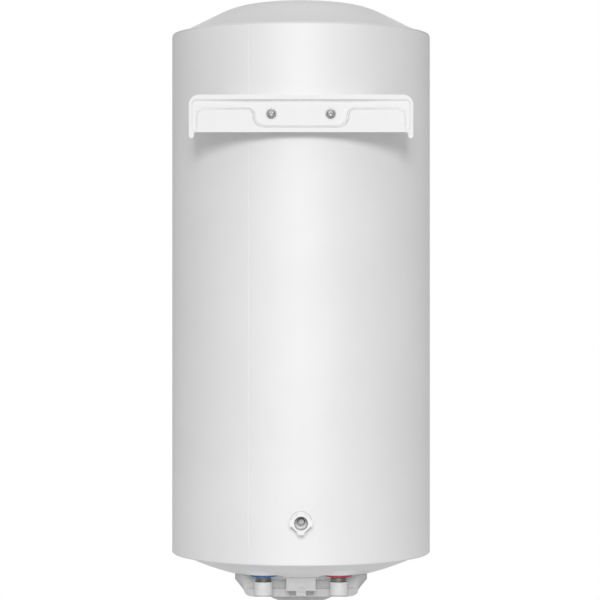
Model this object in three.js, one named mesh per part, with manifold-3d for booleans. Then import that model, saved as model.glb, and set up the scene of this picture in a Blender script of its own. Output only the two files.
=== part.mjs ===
// A slim upright electric storage water heater for a wall, about 50 litres.
// It hangs on two wall hooks by a pressed steel bracket and steadies itself with a screw-out spacer below.
// Millimetres, +Z up, +Y towards the wall, front facing -Y.
// Origin on the wall face of the bracket's lower strip.
import * as THREE from "three";
import { mergeVertices } from "three/addons/utils/BufferGeometryUtils.js";
import Module from "manifold-3d";

const wasm = await Module();
wasm.setup();

// driving dimensions, in millimetres
const gap = 0.3; // between faces that touch
const runGap = 0.4; // around what turns or slides

const casing = { radius: 176.5, length: 704, sheet: 0.8 };
const standoff = 20; // wall face of the bracket to the casing
const lip = { height: 2.6, inset: 0.6, land: 11,
  plug: 12 }; // rim that each end cap lays over the casing's edge
const capSheet = 0.8;
const topDish = { height: 47.1, crownReach: 70.6, crownRadius: 588, knuckleRadius: 128, slope: 28.4 };
const bottomDish = { height: 39.3 };

const foamLayer = { side: 24.7, below: 45, above: 39 }; // from the casing to the tank, and from its ends
const tank = {
  radius: casing.radius - casing.sheet - foamLayer.side,
  bottom: foamLayer.below,
  top: casing.length - foamLayer.above,
  sheet: 2, headHeight: 36, lap: 8,
};

const bracket = { width: 289.4, height: 48.4, corner: 13, sheet: 2.5, belowRim: 94.5, recess: 5,
  depth: 40 };
const bracketLow = casing.length - bracket.belowRim - bracket.height;
const rim = { top: 6.4, side: 4.3, tabWidth: 6.4, tabDrop: 7.8, tabDepth: 6 };
const channel = { width: 5.3, floor: 2.8 }; // narrow pressed groove beside each end of the bracket
const lobe = { inner: 60.3, top: 28.1, radius: 9, valley: 6.4 };
const bracketScrew = { spacing: 76.6, height: 24.1, shank: 3, headRadius: 6.6, head: 3.4, length: 16 };
const boss = { radius: 8, bore: 14 };

const spacer = { height: 56.3, bore: 9.1, wall: 1.8, across: 29.6, lobeWidth: 8.6, head: 12, tail: 22,
  web: 5 };
const spacerStud = { radius: 4.6, short: 2.5 }; // it ends just inside the casing
const socket = { wall: 3 };

const setback = { pipes: 77.5, cover: 100.5, outlet: 71.5 }; // from the casing's wall side
const pipe = { spacing: 100, radius: 10.48, wall: 2.98, end: -44, head: 16 };
const pipeBack = casing.radius - setback.pipes;
const pipeBore = pipe.radius - pipe.wall;
const colourRing = { width: 7.52, thickness: 2 };
const ringRadius = pipe.radius + gap + colourRing.width;
const pad = { margin: 3.7, level: -20.2, foamRoom: 8 }; // seat pressed into the bottom cap for each pipe
const padRadius = ringRadius + pad.margin;
const threadCap = { side: 1.32, wall: 1.5, top: -30.1, roomBelowPipe: 2.6 };
const dipTube = { clearance: 1.5, wall: 1, below: 27 };
const diffuser = { around: 4.52, height: 26, wall: 1.5 };

const flange = { y: -20, radius: 46, hole: 31, neck: 9, plate: 3, gasket: 3, bolts: 5, boltCircle: 38 };
const flangeBolt = { radius: 3, headRadius: 5.5, head: 4.5, length: 13 };
const well = { radius: 58, opening: 60 }; // room for the wiring, up through the foam
const element = { radius: 4.2, spread: 11, y: -8, top: 290, terminal: 3 };
const anode = { radius: 9, length: 170, stud: 3 };
const thermowell = { radius: 5, wall: 0.8, top: 210 };

const cover = { halfWidth: 89.2, front: -112, wall: 2.2, shoulder: -32.3, floor: -53.2, floorHalf: 62.7 };
const coverBack = casing.radius - setback.cover;
const coverTaper = { slantHalf: 76.2, slantLevel: -47, frontRun: 34, corner: 26, middle: -18 };
const ledge = { level: -42.6, depth: 3 }; // the back wall steps in above this line
const bulge = { y: -10, radius: 44, flat: 22, depth: 15.5 };
const coverScrew = { x: 66, y: -12, radius: 2, headRadius: 4, head: 2.4, length: 20, seat: -38 };
const outlet = { width: 39, hole: 6, bottom: -41.8, wall: 2.4 };
const outletBack = casing.radius - setback.outlet;
const tongue = { width: 12.8, end: -49, thickness: 3, grooves: [-37.9, -43.3], grooveWidth: 9,
  grooveSize: 1.2 };
const latchPocket = { width: 8.3, top: -46.4, bottom: -51.2, aside: 1.2, depth: 1.4 };
const knob = { radius: 20, flare: 22, height: 13, grip: 4 };
const thermostat = { width: 34, depth: 34, height: 16, top: -30 };
const shaft = { radius: 3 };
const cutout = { x: 36, y: -48, radius: 12, height: 9, top: -22 };
const resetButton = { radius: 3, height: 3.6 };
const terminals = { y: 22, width: 34, depth: 12, height: 12, top: -27 };
const lamp = { x: 27, radius: 4, lens: 2.2, slopeShift: 4, drop: 3, room: 3.27 };
const fillPlug = { radius: 9, height: 2.2, stem: 6.5, stemLength: 10 };
const gauge = { height: 150, radius: 26, bezel: 3.2, proud: 4, depth: 12, hub: 2, pointer: 18 };

const wallPlane = casing.radius + standoff;
const smooth = { large: 32, medium: 20, small: 12, tiny: 8 }; // sides of round pieces

// materials
const material = (color, roughness, metalness = 0) => new THREE.MeshStandardMaterial({ color, roughness,
  metalness });
const materials = {
  enamel: material(0xf2f2f2, 0.32),
  bracketPaint: material(0xf5f5f5, 0.4),
  whitePlastic: material(0xdedede, 0.45),
  capPlastic: material(0xf0f0f0, 0.5),
  blue: material(0x2f68a8, 0.45),
  red: material(0xb0303a, 0.45),
  threadSteel: material(0x8c8c8c, 0.35, 1),
  zinc: material(0xa8a8a8, 0.4, 1),
  bareSteel: material(0x6d6f72, 0.5, 1),
  foam: material(0xe8d9a8, 0.95),
  copper: material(0xb87348, 0.35, 1),
  magnesium: material(0xa3a5a6, 0.6, 1),
  rubber: material(0x2a2a2a, 0.8),
  blackPlastic: material(0x222326, 0.5),
  dialFace: material(0xfafafa, 0.6),
  lens: material(0xe8f0f4, 0.08),
  lampRed: material(0xd0452c, 0.25),
  lampGreen: material(0x4fae4a, 0.25),
  brown: material(0x6b3f22, 0.5),
  wireBlue: material(0x2b5fb0, 0.5),
};

// solids
function solid(geometry) {
  const loose = geometry.index ? geometry.toNonIndexed() : geometry;
  const bare = new THREE.BufferGeometry().setAttribute("position", loose.getAttribute("position"));
  const merged = mergeVertices(bare, 1e-4);
  const triVerts = new Uint32Array(merged.index.array);
  return new wasm.Manifold(new wasm.Mesh({ numProp: 3, vertProperties: merged.attributes.position.array,
    triVerts }));
}

function geometryOf(made) {
  const mesh = made.getMesh();
  return new THREE.BufferGeometry()
    .setAttribute("position", new THREE.BufferAttribute(mesh.vertProperties, 3))
    .setIndex(new THREE.BufferAttribute(mesh.triVerts, 1));
}

const join = (first, ...others) => geometryOf(others.reduce((made, g) => made.add(solid(g)), solid(first)));
const cut = (first, ...tools) => geometryOf(tools.reduce((made, g) => made.subtract(solid(g)),
  solid(first)));
const common = (first, ...others) => geometryOf(others.reduce((made, g) => made.intersect(solid(g)),
  solid(first)));

// A turned piece about Z. The profile's [radius, height] points go round the section in either direction.
function turned(profile, sides) {
  let doubleArea = 0;
  profile.forEach(([r, z], i) => {
    const [nextR, nextZ] = profile[(i + 1) % profile.length];
    doubleArea += r * nextZ - nextR * z;
  });
  const points = (doubleArea > 0 ? profile : [...profile].reverse()).map(([r, z]) => new THREE.Vector2(r,
    z));
  const onAxis = points.findIndex((p, i) => p.x === 0 && points.at(i - 1).x === 0);
  const ordered = onAxis < 0 ? [...points, points[0]] : [...points.slice(onAxis), ...points.slice(0,
    onAxis)];
  return new THREE.LatheGeometry(ordered, sides).rotateX(Math.PI / 2);
}

const rod = (radius, low, high, sides) => turned([[0, low], [radius, low], [radius, high], [0, high]],
  sides);
const ring = (outer, inner, low, high, sides) =>
  turned([[inner, low], [outer, low], [outer, high], [inner, high]], sides);
const block = (width, depth, height) => new THREE.BoxGeometry(width, depth, height);

// A flat shape drawn in X and Z, with its face at y = 0 and its thickness going towards -Y.
const slab = (shape, thickness, curveSegments = 6) =>
  new THREE.ExtrudeGeometry(shape, { depth: thickness, bevelEnabled: false, curveSegments })
    .rotateX(Math.PI / 2);

// A flat shape drawn in X and Y, standing from z = 0 up.
const prism = (shape, height, curveSegments = 8) =>
  new THREE.ExtrudeGeometry(shape, { depth: height, bevelEnabled: false, curveSegments });

const alongY = (geometry, x, y, z) => geometry.rotateX(-Math.PI / 2).translate(x, y,
  z); // turned piece pointing to +Y

// A round bar or wire that follows a list of points.
function bent(points, radius, steps, sides = 8) {
  const section = new THREE.Shape().absarc(0, 0, radius, 0, 2 * Math.PI);
  const extrudePath = new THREE.CatmullRomCurve3(points.map((p) => new THREE.Vector3(...p)), false,
    "centripetal");
  const settings = { steps, extrudePath, bevelEnabled: false, curveSegments: sides };
  return new THREE.ExtrudeGeometry(section, settings);
}

function arc(centreX, centreZ, radius, fromDegrees, toDegrees, steps) {
  return Array.from({ length: steps + 1 }, (_, i) => {
    const a = THREE.MathUtils.degToRad(fromDegrees + ((toDegrees - fromDegrees) * i) / steps);
    return [centreX + radius * Math.cos(a), centreZ + radius * Math.sin(a)];
  });
}

const heater = new THREE.Group();
heater.position.set(0, -wallPlane, -bracketLow - lobe.valley / 2);

function add(name, geometry, paint, x = 0, y = 0, z = 0) {
  const mesh = new THREE.Mesh(geometry, materials[paint]);
  mesh.name = name;
  mesh.position.set(x, y, z);
  heater.add(mesh);
}

// end caps
const landRadius = casing.radius - lip.land;
const sphereRadius = (landRadius ** 2 + (bottomDish.height - lip.height) ** 2) / (2 * (bottomDish.height - lip.height));

// Height of the bottom cap's outer face at a distance from the axis.
const bottomDishAt = (r) => -bottomDish.height + sphereRadius - Math.sqrt(sphereRadius ** 2 - r ** 2);

// The top dish from its crown outwards: a flat crown, a knuckle and a straight flank.
function topDishCurve() {
  const { height, crownReach, crownRadius, knuckleRadius, slope } = topDish;
  const crownAngle = THREE.MathUtils.radToDeg(Math.asin(crownReach / crownRadius));
  const crown = arc(0, height - crownRadius, crownRadius, 90, 90 - crownAngle, 2);
  const [joinR, joinZ] = crown.at(-1);
  const towardsCentre = THREE.MathUtils.degToRad(90 - crownAngle);
  const knuckleR = joinR - knuckleRadius * Math.cos(towardsCentre);
  const knuckleZ = joinZ - knuckleRadius * Math.sin(towardsCentre);
  const knuckle = arc(knuckleR, knuckleZ, knuckleRadius, 90 - crownAngle, 90 - slope, 2).slice(1);
  const [flankR, flankZ] = knuckle.at(-1);
  const flankEnd = flankR + (flankZ - lip.height) / Math.tan(THREE.MathUtils.degToRad(slope));
  return [...crown, ...knuckle, [Math.min(flankEnd, casing.radius - lip.land / 2), lip.height]];
}

const bottomDishCurve = (steps = 5) =>
  Array.from({ length: steps + 1 }, (_, i) => [(landRadius * i) / steps,
    -bottomDishAt((landRadius * i) / steps)]);

// A pressed cap: its dish, a rim lip over the casing's edge and a plug down inside the casing. Drawn for the top.
function capProfile(dish) {
  const lipRadius = casing.radius - lip.inset;
  const plugRadius = casing.radius - casing.sheet - gap;
  const rimEdge = arc(lipRadius - 1.5, lip.height - 1.5, 1.5, 90, 0, 2);
  const outer = [...dish, ...rimEdge, [lipRadius, gap], [plugRadius, gap], [plugRadius, -lip.plug]];
  const inner = dish.map(([r, z]) => [Math.min(r, plugRadius - capSheet), z - capSheet]).reverse();
  return [...outer, [plugRadius - capSheet, -lip.plug], [plugRadius - capSheet, lip.height - capSheet],
    ...inner];
}

const flipped = (profile) => profile.map(([r, z]) => [r, -z]);
const pipePlaces = [
  { side: "cold", x: pipe.spacing / 2, paint: "blue", ring: "cold_ring_blue" },
  { side: "hot", x: -pipe.spacing / 2, paint: "red", ring: "hot_ring_red" },
];

// Everything above the bottom cap's outer face, drawn lower or higher by a distance.
function insideDish(lower = 0) {
  const face = bottomDishCurve().map(([r, z]) => [r, -z - lower]);
  return turned([...face, [landRadius + 40, -lip.height - lower], [landRadius + 40, 60], [0, 60]],
    smooth.large);
}

function topCap() {
  const stemHole = rod(fillPlug.stem + gap, 0, 80, smooth.small);
  add("top_cap", cut(turned(capProfile(topDishCurve()), smooth.large), stemHole), "enamel", 0, 0,
    casing.length);
  const crown = topDish.height;
  const plugHead = [[0, crown + gap], [fillPlug.radius, crown + gap], [fillPlug.radius, crown + gap + 1],
    [fillPlug.radius - 2, crown + gap + fillPlug.height], [0, crown + gap + fillPlug.height]];
  const stem = rod(fillPlug.stem, crown - fillPlug.stemLength, crown + 1, smooth.small);
  add("foam_fill_plug", join(turned(plugHead, smooth.small), stem), "whitePlastic", 0, 0, casing.length);
}

// The pressed seat for a pipe: a flat disc with a wall down or up to the dish around it.
function pipeSeat(x) {
  const at = (g) => g.translate(x, pipeBack, 0);
  const disc = at(rod(padRadius + capSheet, pad.level, pad.level + capSheet, smooth.medium));
  const tube = at(ring(padRadius + capSheet, padRadius, -60, 0, smooth.medium));
  const abovePad = at(rod(padRadius + 10, pad.level, 60, smooth.medium));
  const belowPad = at(rod(padRadius + 10, -90, pad.level + capSheet, smooth.medium));
  const wallBelow = common(tube, insideDish(), belowPad);
  const wallAbove = cut(common(tube, abovePad), insideDish(-capSheet));
  return join(disc, wallBelow, wallAbove);
}

function bottomCap() {
  const shell = turned(flipped(capProfile(bottomDishCurve())), smooth.large);
  const opened = pipePlaces.map(({ x }) => rod(padRadius, -90, 40, smooth.medium).translate(x, pipeBack,
    0));
  const seats = pipePlaces.map(({ x }) => pipeSeat(x));
  const holes = pipePlaces.map(({ x }) => rod(pipe.radius + 1, -90, 40, smooth.medium).translate(x,
    pipeBack, 0));
  const serviceHole = rod(well.opening, -90, 40, smooth.medium).translate(0, flange.y, 0);
  const screwHoles = [-1, 1].map((side) => rod(coverScrew.radius + gap, -90, 40, 8)
    .translate(side * coverScrew.x, coverScrew.y, 0));
  add("bottom_cap", cut(join(cut(shell, ...opened), ...seats), ...holes, serviceHole, ...screwHoles),
    "enamel");
}

// inner tank
function headProfile() {
  const steps = 4;
  const across = tank.radius - tank.sheet - gap;
  const outside = Array.from({ length: steps + 1 }, (_, i) => {
    const a = (Math.PI / 2) * (1 - i / steps);
    return [across * Math.cos(a), tank.headHeight * Math.sin(a)];
  });
  const inside = outside.map(([r, z]) => [r * (1 - tank.sheet / across),
    z * (1 - tank.sheet / tank.headHeight)]);
  return [...outside, [across, -tank.lap], [across - tank.sheet, -tank.lap], ...inside.reverse()];
}

const headAt = (x, y) => {
  const across = tank.radius - tank.sheet - gap;
  return tank.bottom - tank.headHeight * Math.sqrt(1 - (x * x + y * y) / across ** 2);
};

function innerTank() {
  const shellLow = tank.bottom + 2;
  add("tank_shell", ring(tank.radius, tank.radius - tank.sheet, shellLow, tank.top - 2, smooth.large),
    "bareSteel");
  add("tank_top_head", turned(headProfile(), smooth.large), "bareSteel", 0, 0, tank.top);
  const neckHole = rod(flange.hole + flange.neck + gap, -80, 40, smooth.medium).translate(0, flange.y, 0);
  const pipeHoles = pipePlaces.map(({ x }) => rod(pipe.radius + gap, -80, 40, smooth.medium).translate(x,
    pipeBack, 0));
  const lowerHead = cut(turned(flipped(headProfile()), smooth.large), neckHole, ...pipeHoles);
  add("tank_bottom_head", lowerHead, "bareSteel", 0, 0, tank.bottom);
}

// casing and foam
const bossPlaces = [-1, 1].map((side) => ({ side, x: (side * bracketScrew.spacing) / 2 }));
const bossHeight = bracketLow + bracketScrew.height;
const spacerOuter = spacer.bore + spacer.wall;
const hullAt = (x, radius) => Math.sqrt(radius ** 2 - x ** 2);
const towardsWall = (radius, x, z, sides) => alongY(rod(radius, 0, casing.radius + 60, sides), x, 0, z);

function casingAndFoam() {
  const bossHoles = bossPlaces.map(({ x }) => towardsWall(boss.radius + gap, x, bossHeight, smooth.small));
  const socketHole = towardsWall(spacerOuter + socket.wall + gap, 0, spacer.height, smooth.medium);
  const gaugeHole = alongY(rod(gauge.radius - gauge.bezel + gap, -casing.radius - 20, -tank.radius - 3,
    smooth.medium), 0, 0, gauge.height);
  const drum = ring(casing.radius, casing.radius - casing.sheet, 0, casing.length, smooth.large);
  add("casing", cut(drum, ...bossHoles, socketHole, gaugeHole), "enamel");

  const outer = casing.radius - casing.sheet - 2 * gap - capSheet;
  const inner = tank.radius + gap;
  const headSide = (z, up) => [[inner, z], [inner - 6, z + up * 22], [tank.radius * 0.8,
    z + up * (tank.headHeight * 0.75)],
    [tank.radius * 0.4, z + up * (tank.headHeight + 3)], [0, z + up * (tank.headHeight + 4)]];
  const underTop = topDishCurve().map(([r, z]) => [Math.min(r, outer),
    casing.length + z - capSheet - gap * 2]);
  const overBottom = bottomDishCurve().map(([r, z]) => [Math.min(r, outer), capSheet + gap * 2 - z]);
  const profile = [...headSide(tank.top, 1).reverse(), ...headSide(tank.bottom, -1),
    ...overBottom, [outer, 6], [outer, casing.length - 6], ...underTop.reverse()];
  const seatRoom = pipePlaces.flatMap(({ x }) => [
    rod(padRadius + pad.foamRoom, -90, pad.level + capSheet + gap * 2, smooth.medium).translate(x,
      pipeBack, 0),
    rod(pipe.radius + gap, -90, 80, smooth.medium).translate(x, pipeBack, 0)]);
  const stemRoom = rod(fillPlug.stem + gap, casing.length + 30, casing.length + 80, smooth.small);
  const wiringWell = rod(well.radius, -90, 40, smooth.medium).translate(0, flange.y, 0);
  const screwRoom = [-1, 1].map((side) => rod(coverScrew.radius + gap, -90, 10, 8)
    .translate(side * coverScrew.x, coverScrew.y, 0));
  const foam = cut(turned(profile, smooth.large), wiringWell, ...seatRoom, stemRoom, gaugeHole,
    ...screwRoom,
    ...bossHoles, socketHole);
  add("foam_insulation", foam, "foam");
}

// wall bracket
// Outline of the bracket's face, drawn in by a distance at the top and both ends.
function bracketOutline(inset = 0, bottom = 0) {
  const half = bracket.width / 2 - inset;
  const top = bracket.height - inset;
  const corner = bracket.corner - inset;
  const shape = new THREE.Shape();
  shape.moveTo(-half, bottom).lineTo(half, bottom).lineTo(half, top - corner);
  shape.absarc(half - corner, top - corner, corner, 0, Math.PI / 2);
  shape.lineTo(-half + corner, top);
  shape.absarc(-half + corner, top - corner, corner, Math.PI / 2, Math.PI);
  return shape;
}

// The pressed-in field that runs over and between the two raised lobes and down a groove at each end.
function recessOutline(grow = 0) {
  const outer = bracket.width / 2 - rim.side + grow;
  const grooveIn = outer - channel.width - 2 * grow;
  const top = bracket.height - rim.top + grow;
  const corner = bracket.corner - rim.side + grow;
  const over = lobe.top - grow;
  const r = lobe.radius;
  const centre = lobe.inner + grow;
  const shape = new THREE.Shape();
  shape.moveTo(outer, channel.floor - grow).lineTo(outer, top - corner);
  shape.absarc(outer - corner, top - corner, corner, 0, Math.PI / 2);
  shape.lineTo(-outer + corner, top);
  shape.absarc(-outer + corner, top - corner, corner, Math.PI / 2, Math.PI);
  shape.lineTo(-outer, channel.floor - grow).lineTo(-grooveIn, channel.floor - grow);
  shape.lineTo(-grooveIn, over - r);
  shape.absarc(-grooveIn + r, over - r, r, Math.PI, Math.PI / 2, true);
  shape.lineTo(-centre - r, over);
  shape.absarc(-centre - r, over - r, r, Math.PI / 2, 0, true);
  shape.lineTo(-centre, lobe.valley - grow + r);
  shape.absarc(-centre + r, lobe.valley - grow + r, r, Math.PI, 1.5 * Math.PI);
  shape.lineTo(centre - r, lobe.valley - grow);
  shape.absarc(centre - r, lobe.valley - grow + r, r, 1.5 * Math.PI, 2 * Math.PI);
  shape.lineTo(centre, over - r);
  shape.absarc(centre + r, over - r, r, Math.PI, Math.PI / 2, true);
  shape.lineTo(grooveIn - r, over);
  shape.absarc(grooveIn - r, over - r, r, Math.PI / 2, 0, true);
  shape.lineTo(grooveIn, channel.floor - grow);
  return shape;
}

// A tongue below each end that keeps the wall hooks from sliding off sideways.
function bracketTab(side) {
  const r = rim.tabWidth / 2;
  const root = channel.floor / 2;
  const shape = new THREE.Shape().moveTo(r, root).lineTo(-r, root).lineTo(-r, r - rim.tabDrop);
  shape.absarc(0, r - rim.tabDrop, r, Math.PI, 2 * Math.PI);
  return slab(shape, rim.tabDepth).translate(side * (bracket.width / 2 - r), 0, 0);
}

function wallBracket() {
  const deep = bracket.depth;
  const tray = cut(slab(bracketOutline(), deep), slab(bracketOutline(bracket.sheet, -1), deep + 1)
    .translate(0, -bracket.sheet, 0));
  const flangeTails = [-1, 1].map((side) => block(bracket.sheet, deep, rim.tabDrop)
    .translate(side * (bracket.width - bracket.sheet) / 2, -deep / 2, -rim.tabDrop / 2 + 1));
  const pressed = join(tray, slab(recessOutline(bracket.sheet), bracket.recess + bracket.sheet),
    bracketTab(-1), bracketTab(1), ...flangeTails);
  const drumRoom = rod(casing.radius + gap * 2, -100, 100, 96).translate(0, -wallPlane, 0);
  const screwHoles = bossPlaces.map(({ x }) => alongY(rod(bracketScrew.shank + gap, -40, 10, smooth.small),
    x, 0, bracketScrew.height));
  const field = slab(recessOutline(), bracket.recess + 1).translate(0, 1, 0);
  const made = cut(pressed, field, drumRoom, ...screwHoles);
  add("wall_bracket", made, "bracketPaint", 0, wallPlane, bracketLow);

  const floorBack = wallPlane - bracket.recess - bracket.sheet;
  bossPlaces.forEach(({ side, x }) => {
    const label = side < 0 ? "hot_side" : "cold_side";
    const foot = hullAt(Math.abs(x) - boss.radius, tank.radius) + gap;
    const bore = rod(bracketScrew.shank + gap, floorBack - boss.bore, floorBack + 1, smooth.small);
    const post = cut(rod(boss.radius, foot, floorBack - gap, smooth.small), bore);
    add(`bracket_boss_${label}`, alongY(post, 0, 0, 0), "bareSteel", x, 0, bossHeight);
    const under = floorBack + bracket.sheet + gap;
    const { headRadius, head, shank, length } = bracketScrew;
    const screw = turned([[0, under - length], [shank, under - length], [shank, under], [headRadius, under],
      [headRadius, under + head * 0.45], [headRadius * 0.8, under + head * 0.85], [headRadius * 0.4,
        under + head], [0, under + head]], smooth.small);
    add(`bracket_screw_${label}`, alongY(screw, 0, 0, 0), "zinc", x, 0, bossHeight);
  });
}

// wall spacer
function wallSpacer() {
  const face = wallPlane;
  const tube = rod(spacerOuter, face - spacer.head - spacer.tail, face, smooth.medium);
  const wings = [0, 1].map((i) => block(i ? spacer.lobeWidth : spacer.across,
    i ? spacer.across : spacer.lobeWidth, spacer.head)
    .translate(0, 0, face - spacer.head / 2));
  const webBack = face - spacer.head - spacer.tail;
  const bore = rod(spacer.bore, webBack + spacer.web, face + 1, smooth.medium);
  const nutHole = rod(spacerStud.radius + gap, webBack - 1, webBack + spacer.web + 1, smooth.small);
  add("wall_spacer", alongY(cut(join(tube, ...wings), bore, nutHole), 0, 0, 0), "capPlastic", 0, 0,
    spacer.height);

  const socketEnd = casing.radius - casing.sheet;
  const sleeve = ring(spacerOuter + socket.wall, spacerOuter + runGap, tank.radius + 1, socketEnd - gap,
    smooth.medium);
  add("spacer_socket", alongY(sleeve, 0, 0, 0), "capPlastic", 0, 0, spacer.height);
  const stud = rod(spacerStud.radius, tank.radius + gap, casing.radius - spacerStud.short, smooth.small);
  add("spacer_stud", alongY(stud, 0, 0, 0), "zinc", 0, 0, spacer.height);
}

// water connections
function waterConnections() {
  pipePlaces.forEach(({ side, x, paint, ring: ringName }) => {
    const inTank = headAt(x, pipeBack) + pipe.head;
    const place = [x, pipeBack, 0];
    add(`${side}_${side === "cold" ? "inlet" : "outlet"}_pipe`, ring(pipe.radius, pipeBore, pipe.end,
      inTank, smooth.medium), "threadSteel", ...place);
    const seat = pad.level - gap;
    add(ringName, ring(ringRadius, pipe.radius + gap, seat - colourRing.thickness, seat, smooth.medium),
      paint, ...place);
    const { side: capSide, wall, top, roomBelowPipe } = threadCap;
    const floor = pipe.end - roomBelowPipe;
    const bore = pipe.radius + runGap / 2;
    const radius = bore + capSide;
    const capSides = [[0, floor - wall], [radius - 1, floor - wall], [radius, floor - wall + 1],
      [radius, top], [bore, top], [bore, floor], [0, floor]];
    add(`${side}_thread_cap`, turned(capSides, smooth.medium), "capPlastic", ...place);
  });
  const cold = pipePlaces[0];
  const diffuserFoot = headAt(cold.x, pipeBack) + pipe.head - 6;
  const { around: aroundPipe, height, wall } = diffuser;
  const radius = pipe.radius + aroundPipe;
  const cup = turned([[pipe.radius + gap, diffuserFoot], [radius, diffuserFoot],
    [radius, diffuserFoot + height],
    [0, diffuserFoot + height], [0, diffuserFoot + height - wall], [radius - wall,
      diffuserFoot + height - wall],
    [radius - wall, diffuserFoot + wall], [pipe.radius + gap, diffuserFoot + wall]], smooth.medium);
  const jets = [0, Math.PI / 3, -Math.PI / 3].map((turn) => block(2 * radius + 6, 5, 8).rotateZ(turn)
    .translate(0, 0, diffuserFoot + height - 9));
  add("cold_diffuser", cut(cup, ...jets), "whitePlastic", cold.x, pipeBack, 0);
  const hot = pipePlaces[1];
  const tubeRadius = pipeBore - dipTube.clearance;
  const risingTube = ring(tubeRadius, tubeRadius - dipTube.wall, pipe.end + 20, tank.top - dipTube.below,
    smooth.small);
  add("hot_dip_tube", risingTube, "zinc", hot.x, pipeBack, 0);
}

// element flange and what it carries
const plateTop = -3; // underside of the neck's sealing face is just above this
const elementLow = plateTop - flange.plate - 9;
const around = (count, radius, turn = 0) =>
  Array.from({ length: count }, (_, i) => {
    const a = turn + (2 * Math.PI * i) / count;
    return [radius * Math.cos(a), radius * Math.sin(a)];
  });

function elementFlange() {
  const boltPlaces = around(flange.bolts, flange.boltCircle, Math.PI / 2);
  const neckLow = plateTop + flange.gasket + 2 * gap;
  const neckTop = headAt(0, flange.y) + 8;
  const boltHoles = () => boltPlaces.map(([x, y]) => rod(flangeBolt.radius + gap, -60, neckLow + 7,
    smooth.tiny).translate(x, y, 0));
  const collar = ring(flange.radius, flange.hole, neckLow, neckLow + 9, smooth.medium);
  const throat = ring(flange.hole + flange.neck, flange.hole, neckLow, neckTop, smooth.medium);
  add("flange_neck", cut(join(collar, throat), ...boltHoles()), "bareSteel", 0, flange.y, 0);
  const gasketBody = ring(flange.radius - 1, flange.hole - 1, plateTop + gap,
    plateTop + gap + flange.gasket, smooth.medium);
  add("flange_gasket", cut(gasketBody, ...boltHoles()), "rubber", 0, flange.y, 0);

  const legs = [-1, 1].map((side) => [side * element.spread, element.y]);
  const legHoles = legs.map(([x, y]) => rod(element.radius + gap, -60, 20, smooth.small).translate(x,
    y - flange.y, 0));
  const wellHole = rod(thermowell.radius + gap, -60, 20, smooth.small).translate(14, -13, 0);
  const anodeHole = rod(anode.stud + gap, -60, 20, smooth.small).translate(-13, -14, 0);
  const plate = rod(flange.radius, plateTop - flange.plate, plateTop, smooth.medium);
  add("flange_plate", cut(plate, ...boltHoles(), ...legHoles, wellHole, anodeHole), "zinc", 0, flange.y, 0);
  boltPlaces.forEach(([x, y], i) => {
    const under = plateTop - flange.plate - gap;
    const { radius, headRadius, head, length } = flangeBolt;
    const bolt = join(rod(headRadius, under - head, under, 6), rod(radius, under - head / 2, under + length,
      smooth.tiny));
    add(`flange_bolt_${i + 1}`, bolt, "zinc", x, flange.y + y, 0);
  });

  const low = elementLow;
  const bend = element.spread;
  const turnTop = Array.from({ length: 5 }, (_, i) => {
    const a = Math.PI * (1 - i / 4);
    return [bend * Math.cos(a), element.y, element.top + bend * Math.sin(a)];
  });
  const loop = bent([[-bend, element.y, low], [-bend, element.y, element.top * 0.5], ...turnTop,
    [bend, element.y, element.top * 0.5], [bend, element.y, low]], element.radius, 15, 7);
  add("heating_element", loop, "copper");
  legs.forEach(([x, y], i) => add(`element_terminal_${i + 1}`, rod(element.terminal / 2 + 0.7, low - 7,
    low - gap, smooth.tiny), "zinc", x, y, 0));

  const anodeFoot = plateTop + gap + 2;
  const anodeRod = join(rod(anode.radius, anodeFoot, anodeFoot + anode.length, smooth.small),
    rod(anode.stud, low, anodeFoot + 5, smooth.tiny));
  add("anode_rod", anodeRod, "magnesium", -13, flange.y - 14, 0);
  const { radius, wall, top } = thermowell;
  const pocket = turned([[radius - wall, low + 2], [radius, low + 2], [radius, top], [0, top],
    [0, top - wall], [radius - wall, top - wall]], smooth.small);
  add("thermowell", pocket, "copper", 14, flange.y - 13, 0);
  const [wellX, wellY] = [14, flange.y - 13];
  const bulb = bent([[wellX, wellY, top - 60], [wellX, wellY, 20], [wellX, wellY, 0], [wellX, wellY,
    low - 1], [13, -29, low - 3.5],
    [10, -25, low - 3.5], [9, -24, low - 6], [9, -24, thermostat.top + gap]], 1.4, 14, 5);
  add("thermostat_bulb", bulb, "copper");
}

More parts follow.
